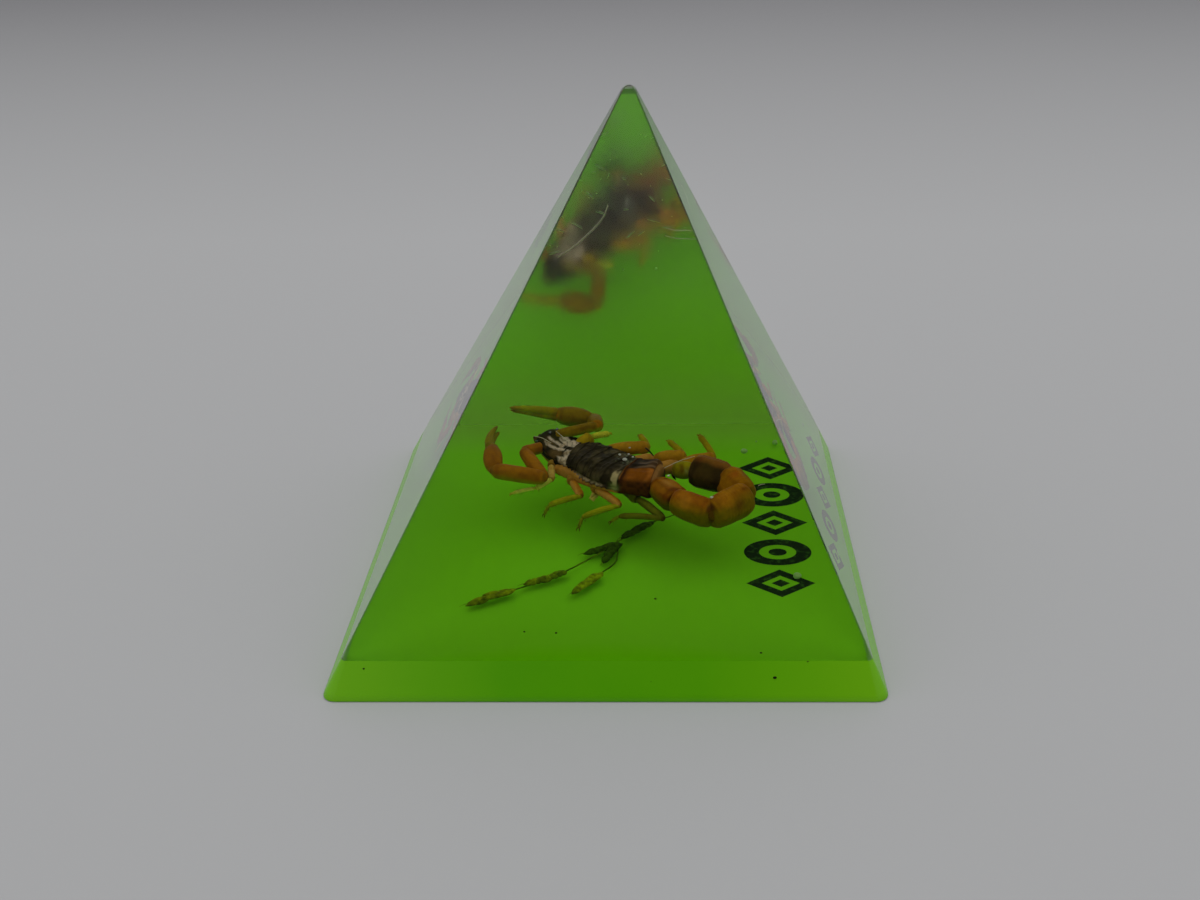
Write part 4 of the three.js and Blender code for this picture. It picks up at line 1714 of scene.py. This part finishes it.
# Pale olive made bright as a painted highlight on the far first leg's foot.
FAR_FOOT_PAINTED_HIGHLIGHT = Shell("#dfe03a", "#b8bc20", "#b0ac20")
FAR_FOOT = Shell("#ae9e08", "#8e8204", "#8e8204")
FAR_ORANGE_FOOT = Shell("#aa9a06", "#8c7806", "#8c7806")
# Olive made bright as a painted highlight on the near first leg's lower tubes.
OLIVE_LEG_PAINTED_HIGHLIGHT = Shell("#f2ee5e", "#c8c430", "#c8c030")
THIN_LEG = Shell("#a6a80c", "#868406", "#868006")
GREEN_LEG = Shell("#6f7410", "#5c5a08", "#544808")
DARK_FOOT = Shell("#84960f", "#66700a", "#66700a")


@dataclass
class Scorpion:
    """The whole dried animal."""

    far_arm: ClawArm = field(default_factory=lambda: ClawArm(
        ((-7.2, 9.6, 13.0), (-7.5, 10.1, 14.2), (-1.9, 11.4, 14.9), (-2.4, 16.2, 13.5)),
        (-7.8, 15.7, 14.6), ((-14.3, 14.9, 16.1), (-14.2, 15.3, 15.5)), (0.0, 0.25, 0.0),
        FAR_CLAW, FAR_FINGER, widths=(1.5, 1.5, 2.2),
    ))
    near_arm: ClawArm = field(default_factory=lambda: ClawArm(
        ((-9.0, 9.2, 12.8), (-11.8, 6.9, 13.2), (-8.8, 0.4, 12.5), (-15.6, 1.9, 12.9)),
        (-16.3, 7.3, 13.4), ((-15.9, 12.9, 14.2), (-15.6, 12.5, 13.5)), (-0.6, 0.0, 0.0),
        NEAR_CLAW, NEAR_FINGER, palm_width=2.6, band=True,
    ))
    near_legs: tuple[tuple[tuple[Point, ...], tuple[Shell, ...]], ...] = (
        (((-6.8, 7.4, 11.5), (-8, 5.4, 11.6), (-7.9, 2, 11.4), (-9.9, 1, 10.6), (-13.1, 0.9, 9.9)),
         (PALE_LEG, BRIGHT_LEG, OLIVE_LEG_PAINTED_HIGHLIGHT, OLIVE_LEG_PAINTED_HIGHLIGHT)),
        (((-4.6, 4.8, 11.4), (-5, 1.4, 11.3), (-3.7, -2.2, 11.1), (-8, -2.2, 9.7), (-8.6, -2.6, 8.7)),
         (HIP, ORANGE, THIN_LEG, DARK_FOOT)),
        (((-2, 2.6, 11.4), (-1.6, -0.8, 11.3), (1.6, -4.7, 11), (-3.4, -4.4, 9.1), (-3.9, -5.3, 8.1)),
         (HIP, ORANGE, THIN_LEG, DARK_FOOT)),
        (((1.4, 0.6, 11.5), (3.9, -2.9, 11), (7.4, -7.4, 10.4), (1.5, -5, 9.5), (0.5, -5.4, 9)),
         (GREEN_LEG, GREEN_LEG, GREEN_LEG, DARK_FOOT)),
    )
    # The joined hip plates of the near legs, which lie along and under the flank.
    hip_band: tuple[Point, Point] = ((-7.2, 5.2, 11.6), (-0.8, -0.9, 12.2))
    hip_band_size: tuple[float, float] = (2.3, 1.8)
    far_legs: tuple[tuple[tuple[Point, ...], tuple[Shell, ...]], ...] = (
        (((-5.4, 7.8, 11.6), (-4.6, 8.8, 12.8), (-2.6, 9.9, 13.9), (-0.2, 10.3, 14.2)),
         (FAR_LEG, FAR_OLIVE_LEG, FAR_FOOT_PAINTED_HIGHLIGHT)),
        (((-3, 5.8, 11.8), (-0.8, 7, 13), (5.4, 6.6, 13.9), (4.2, 10, 14)), (HIP, FAR_LEG, FAR_FOOT)),
        (((-0.2, 3.2, 12), (6.2, 4.2, 13.3), (10.4, 3.4, 14.1), (8.2, 6.2, 15)), (HIP, FAR_LEG, FAR_FOOT)),
        (((2.4, 0.8, 12), (9.6, 2.6, 13.2), (14.4, 2.9, 14.1), (12.4, 6.2, 15.8)),
         (HIP, FAR_LEG, FAR_ORANGE_FOOT)),
    )
    far_widths: tuple[float, ...] = (1.9, 1.8, 0.85)

    def build(self) -> list[bpy.types.Object]:
        """Makes the animal's pieces.

        Returns:
            The pieces, which together stand for the scorpion.
        """
        shine = Skin()
        trunk, tail, arms, legs = Skin(), Skin(), Skin(), Skin()
        Trunk().build(trunk, shine)
        Tail().build(tail, shine)
        self.far_arm.build(arms)
        self.near_arm.build(arms)
        for seed, (joints, shells) in enumerate(self.near_legs):
            WalkingLeg(joints, shells, seed).build(legs)
        for seed, (joints, shells) in enumerate(self.far_legs, len(self.near_legs)):
            WalkingLeg(joints, shells, seed, self.far_widths).build(legs)
        Tube(*self.hip_band, *self.hip_band_size, HIP, STOUT, keels=(30, 75, -20), keel_height=0.08,
             grain=0.05, rings=70, sides=32).build(legs)
        named = (
            ("scorpion_trunk", trunk, CUTICLE), ("scorpion_tail", tail, CUTICLE),
            ("scorpion_claw_arms", arms, CUTICLE), ("scorpion_legs", legs, CUTICLE),
            ("scorpion_eyes_and_gleams", shine, GLOSSY_CUTICLE),
        )
        return [
            place_piece(skin.make(name, finish), "scorpion_cuticle", "scorpion")
            for name, skin, finish in named
        ]


# ---- The grass sprig ----------------------------------------------------------------------------


@dataclass
class GrassSprig:
    """A dried grass sprig: thin stems and spikelets of overlapping husks."""

    stem_width: float = 0.22
    stem_colours: tuple[str, str] = ("#4a7606", "#6f9a08")
    stems: tuple[tuple[Point, ...], ...] = (
        ((-12.1, -17.2, 5.4), (-7.7, -14.4, 5.4), (-4.0, -10.9, 5.4), (-0.6, -7.0, 5.4),
         (1.8, -3.8, 5.4), (5.7, 0.6, 5.4), (9.2, 3.1, 5.4)),
        ((1.2, -4.2, 5.4), (1.1, -9.7, 5.4), (-1, -13.2, 5.4)),
    )
    spikelets: tuple[tuple[Point, Point, str], ...] = (
        ((-11.8, -17.0, 5.5), (-17.9, -20.9, 5.5), "#9fb906"),
        ((-7.2, -14.0, 5.5), (-10.8, -15.9, 5.5), "#97b606"),
        ((-5.4, -12.6, 5.5), (-8.2, -14.6, 5.5), "#8ab106"),
        ((1.8, -5.2, 5.5), (-3.3, -8.0, 5.5), "#476f04"),
        ((1.3, -5.0, 5.5), (-0.7, -10.4, 5.5), "#426a04"),
        ((5.9, 0.8, 5.5), (1.6, -3.8, 5.5), "#537d04"),
        ((-0.7, -12.8, 5.5), (-4.5, -18.2, 5.5), "#99bb06"),
    )
    husks: int = 9
    husk_shade: str = "#26380a"  # what a darker husk turns towards
    bristle_colour: str = "#5f6a12"
    lying: tuple[float, float] = (5.05, 5.95)  # the lowest and the highest that a husk's point lies

    def build(self) -> bpy.types.Object:
        """Makes the sprig.

        Returns:
            The piece, which stands for the CAD sprig.
        """
        skin = Skin()
        for route in self.stems:
            radius = self.stem_width / 2
            rings = tube_rings(route, ((0, radius * 0.8), (0.5, radius), (1, radius * 0.7)), 90, 10)
            rings += 0.05 * rumple(rings, 0.8, 51)[..., None]
            skin.add_tube(rings, ramp(*self.stem_colours, step(-0.6, 0.6, rumple(rings, 2.0, 52))))
        for seed, (root, tip, colour) in enumerate(self.spikelets):
            self.add_spikelet(skin, root, tip, colour, seed)
        return place_piece(skin.make("grass_sprig_dried", GRASS), "dried_grass", "grass_sprig")

    def add_spikelet(self, skin: Skin, root: Point, tip: Point, colour: str, seed: int) -> None:
        """Adds one spikelet: husks in two rows that overlap from its root to its tip.

        Args:
            skin: the sprig's skin.
            root: where it leaves the stem.
            tip: where it ends.
            colour: sRGB hex colour of its husks.
            seed: tells its small irregularities from the others'.
        """
        random = np.random.default_rng(100 + seed)
        along = unit(np.subtract(tip, root))
        across = unit(np.cross(along, UP))
        length = np.linalg.norm(np.subtract(tip, root))
        for i in range(self.husks):
            share = i / self.husks
            side = 1 if i % 2 else -1
            splay = side * (0.13 + 0.06 * random.random()) * (1 - 0.9 * share)
            start = np.add(root, along * length * share * 0.78) + 0.1 * side * across
            reach = length * 0.42 * (1 - 0.25 * share)
            end = start + reach * unit(along + splay * across + 0.06 * random.normal() * UP)
            end[2] = np.clip(end[2], *self.lying)
            self.add_husk(skin, start, end, ramp(colour, self.husk_shade, np.array(0.6 * random.random())))
        roots, tips = np.subtract(tip, 0.5 * along)[None], np.add(tip, 0.9 * along)[None]
        add_hairs(skin, roots, tips, 0.05, self.bristle_colour)

    def add_husk(self, skin: Skin, start: Array, end: Array, tone: Array) -> None:
        """Adds one boat-shaped husk with ribs along it.

        Args:
            skin: the sprig's skin.
            start: its root.
            end: its point.
            tone: its linear colour.
        """
        share = np.linspace(0, 1, 16)
        width = smooth(share, ((0, 0.12), (0.15, 0.34), (0.4, 0.46), (0.75, 0.28), (1, 0.03)))
        along = unit(end - start)
        across = unit(np.cross(along, UP))
        up = np.cross(across, along)
        sides = 12
        angle = turns(sides)
        ribs = 1 + 0.1 * np.cos(angle * sides / 2)
        line = start + share[:, None] * (end - start)
        rings = line[:, None, :] + (np.outer(width, ribs * np.cos(angle)))[..., None] * across
        rings += (np.outer(width * 0.62, ribs * np.sin(angle)))[..., None] * up
        dark = step(0.5, 1.0, share)[:, None] * np.ones(sides)
        skin.add_tube(rings, mix(tone, 0.45 * tone, dark))


# ---- Flaws in the casting -----------------------------------------------------------------------


@dataclass
class Flaws:
    """What was caught in the casting: bubbles, hair-fine fibres, grit, and one chip in the rim."""

    # Middle, and half width and height.
    bubbles: tuple[tuple[Point, float, float], ...] = (
        ((24.8, -13.0, 5.0), 0.55, 0.4), ((23.8, 25.4, 5.1), 0.4, 0.35), ((19.1, 20.9, 6.0), 0.5, 0.35),
        ((21.0, 24.0, 6.0), 0.12, 0.12), ((6.6, 7.4, 40.0), 0.14, 0.14),
    )
    fibres: tuple[tuple[Point, ...], ...] = (
        ((-10.4, 7.5, 15.3), (-9.2, 6.3, 15.6), (-7.9, 4.8, 15.6)),
        ((-7.4, 8.4, 15.6), (-6.0, 5.6, 15.8), (-4.7, 3.9, 15.4)),
        ((7.5, -2.6, 15.5), (9.6, -1.1, 15.8), (11.6, 0.2, 15.8)),
        ((19.9, -5.3, 14.2), (20.3, -5.1, 14.3), (20.8, -4.8, 14.2)),
        ((-6.8, 15.1, 38.6), (-4.6, 14.2, 40.4), (-2.2, 12.8, 43.0), (-0.5, 11.6, 45.4), (0.3, 10.4, 47.7)),
        ((7.8, 12.3, 42.7), (9.1, 12.6, 42.2), (10.6, 12.6, 42.1), (12.0, 12.7, 42.0)),
    )
    dark_fibre: tuple[Point, ...] = ((5.0, 3.5, 15.4), (5.5, 2.5, 15.45), (6.1, 1.5, 15.2))
    # Grit on the green floor and in its wall.
    grit: tuple[tuple[Point, float], ...] = (
        ((6.3, -18.1, 4.62), 0.16), ((-10.1, -26.0, 4.62), 0.14), ((-6.1, -26.3, 4.62), 0.16),
        ((19.3, -30.9, 4.6), 0.17), ((-29.5, -33.02, 3.72), 0.17), ((24.9, -32.6, 4.46), 0.18),
        ((20.9, -33.5, 2.73), 0.26), ((5.8, -33.72, 2.29), 0.14),
    )
    chip: tuple[Point, Point] = ((19.2, -34.6, 0.42), (21.0, -34.6, 0.38))
    # Short scratches from sanding, just inside the back face: how many, and from and to which height.
    scratches: int = 46
    scratched: tuple[float, float] = (36.0, 60.0)
    scratch_width: float = 0.036
    scratch_inset: float = 0.15
    scratch_lengths: tuple[float, ...] = (0.08, 0.15, 0.5, 0.9)  # half of them pits, half of them long
    # sRGB hex colours: the first three catch the light, and the others are dirt.
    bubble: str = "#9fd070"
    hair: str = "#cfc9a4"
    scratch: str = "#9cc274"
    dark_hair: str = "#2b211a"
    dirt: str = "#1f2a10"
    chipped: str = "#3a3512"
    shape: PyramidShape = field(default_factory=PyramidShape)

    def build(self) -> list[bpy.types.Object]:
        """Makes the bubbles, fibres and scratches, and the grit with the chip.

        Returns:
            The pieces.
        """
        pale, dark = Skin(), Skin()
        for centre, half_width, half_height in self.bubbles:
            pale.add_ball(centre, (half_width, half_width, half_height), linear(self.bubble))
        for route in self.fibres:
            pale.add_tube(tube_rings(route, ((0, 0.03), (0.5, 0.05), (1, 0.03)), 40, 6), linear(self.hair))
        self.add_scratches(pale)
        hair = tube_rings(self.dark_fibre, ((0, 0.09), (0.5, 0.12), (1, 0.06)), 24, 8)
        dark.add_tube(hair, linear(self.dark_hair))
        for centre, size in self.grit:
            dark.add_ball(centre, (size, size * 0.8, size * 0.7), linear(self.dirt))
        chip = tube_rings(self.chip, ((0, 0.08), (0.5, 0.17), (1, 0.06)), 16, 8)
        dark.add_tube(chip, linear(self.chipped))
        return [
            place_piece(pale.make("bubbles_and_fibres", AIR_FILM), "clear_resin"),
            place_piece(dark.make("grit_and_chip", GRASS), "dried_grass"),
        ]

    def add_scratches(self, skin: Skin) -> None:
        """Adds the scratches and pits that the sanding left in the back face.

        Args:
            skin: the skin of the pale flaws.
        """
        random = np.random.default_rng(71)
        half, tall = self.shape.base_side / 2, self.shape.sharp_height
        for _ in range(self.scratches):
            z = random.uniform(*self.scratched)
            reach = 0.85 * half * (1 - z / tall)
            x = self.shape.apex_lean * z / tall + random.uniform(-reach, reach)
            middle = np.array([x, half * (1 - z / tall) - self.scratch_inset, z])
            heading = random.normal(size=2)
            run = heading[0] * np.array([1.0, 0, 0]) + heading[1] * unit((0, -half / tall, 1))
            run = unit(run) * random.choice(self.scratch_lengths) * random.uniform(0.6, 1.2)
            width = self.scratch_width * random.uniform(0.5, 1.3)
            taper = ((0, 0.3 * width), (0.5, width), (1, 0.3 * width))
            skin.add_tube(tube_rings([middle - run, middle, middle + run], taper, 5, 4), linear(self.scratch))


# ---- The studio ---------------------------------------------------------------------------------


@dataclass
class Studio:
    """Pale floor, soft light all round, and the camera."""

    floor_reach: float = 3000.0
    eye: Point = (7.817, -165.822, 101.089)
    right: Point = (0.99961405, 0.02220662, -0.01669207)
    upward: Point = (0.00483263, 0.45269296, 0.89165337)
    backward: Point = (0.02735699, -0.8913899, 0.45241092)
    lens: float = 39.876
    shift: float = -0.025
    sky: str = "#cacbcd"
    ground: str = "#bbbbbd"
    sky_height: float = 0.9  # sine of the angle above the floor at which the light is all sky
    opening: Point = (0.03, -0.956, 0.292)  # the dark side of the room, behind the camera
    opening_size: tuple[float, float] = (10.0, 25.0)  # degrees from its middle to its dark and bright rims
    opening_light: float = 0.03  # light from its middle, as a share of the room's
    lamp_place: Point = (50.0, 100.0, 1100.0)
    lamp_size: float = 900.0
    lamp_power: float = 3.25  # watts

    def build(self) -> None:
        """Makes the floor, the light and the camera."""
        self.add_floor()
        self.add_world()
        self.add_lamp()
        self.add_camera()
        settings = bpy.context.scene.cycles
        settings.max_bounces = 20
        settings.transmission_bounces = 20
        settings.glossy_bounces = 8
        settings.diffuse_bounces = 5
        view = bpy.context.scene.view_settings
        view.view_transform = "Standard"
        view.look = "None"

    def add_floor(self) -> None:
        """Makes the floor, a wide sheet of paper under the part."""
        floor = bmesh.new()
        bmesh.ops.create_grid(floor, x_segments=24, y_segments=24, size=self.floor_reach * MM)
        mesh = bpy.data.meshes.new("studio_floor")
        floor.to_mesh(mesh)
        floor.free()
        mesh.materials.append(PAPER.material())
        link("studio_floor", mesh)

    def add_world(self) -> None:
        """Lights the room evenly, with one soft dark place where the camera stands."""
        world = bpy.data.worlds.new("soft_room")
        bpy.context.scene.world = world
        world.use_nodes = True
        tree = world.node_tree
        tree.nodes.clear()
        heading = add_node(tree, "ShaderNodeTexCoord").outputs["Generated"]
        height = add_node(tree, "ShaderNodeSeparateXYZ", inputs={0: heading}).outputs["Z"]
        rise = {"Value": height, "From Min": 0.0, "From Max": self.sky_height}
        rise = add_node(tree, "ShaderNodeMapRange", inputs=rise).outputs[0]
        colours = {MIX_A: socket_colour(self.ground), MIX_B: socket_colour(self.sky), MIX_FACTOR: rise}
        colour = add_node(tree, "ShaderNodeMix", MIX_COLOURS, colours).outputs[MIX_RESULT]
        facing = {0: heading, 1: self.opening}
        facing = add_node(tree, "ShaderNodeVectorMath", {"operation": "DOT_PRODUCT"}, facing).outputs["Value"]
        dark, bright = np.cos(np.radians(self.opening_size)).tolist()
        limits = {"From Min": bright, "From Max": dark, "To Min": 1.0, "To Max": self.opening_light}
        light = {"Value": facing, **limits}
        blurred = {"interpolation_type": "SMOOTHSTEP"}
        light = add_node(tree, "ShaderNodeMapRange", blurred, light).outputs[0]
        shade = add_node(tree, "ShaderNodeBackground", inputs={"Color": colour, "Strength": light})
        add_node(tree, "ShaderNodeOutputWorld", inputs={"Surface": shade.outputs[0]})

    def add_lamp(self) -> None:
        """Hangs one wide soft light above and slightly behind the part."""
        lamp = bpy.data.lights.new("overhead_softbox", "AREA")
        lamp.shape = "DISK"
        lamp.size = self.lamp_size * MM
        lamp.energy = self.lamp_power
        stand = bpy.data.objects.new("overhead_softbox", lamp)
        stand.location = Vector(self.lamp_place) * MM
        stand.rotation_mode = "QUATERNION"
        stand.rotation_quaternion = Vector(stand.location).to_track_quat("Z", "Y")
        bpy.context.scene.collection.objects.link(stand)

    def add_camera(self) -> None:
        """Stands the camera in front, looking down at the part."""
        camera = bpy.data.cameras.new("camera")
        camera.lens = self.lens
        camera.sensor_width = 36.0
        camera.shift_x = self.shift
        camera.clip_start = 0.01
        camera.clip_end = 20.0
        stand = bpy.data.objects.new("camera", camera)
        turned = Matrix((self.right, self.upward, self.backward)).transposed()
        stand.matrix_world = Matrix.Translation(Vector(self.eye) * MM) @ turned.to_4x4()
        bpy.context.scene.collection.objects.link(stand)
        bpy.context.scene.camera = stand


def main() -> None:
    logging.basicConfig(level=logging.INFO, format="%(message)s")
    Studio().build()
    GreenLayer().build()
    ClearPyramid().build()
    Scorpion().build()
    GrassSprig().build()
    Flaws().build()


if __name__ == "__main__":
    main()
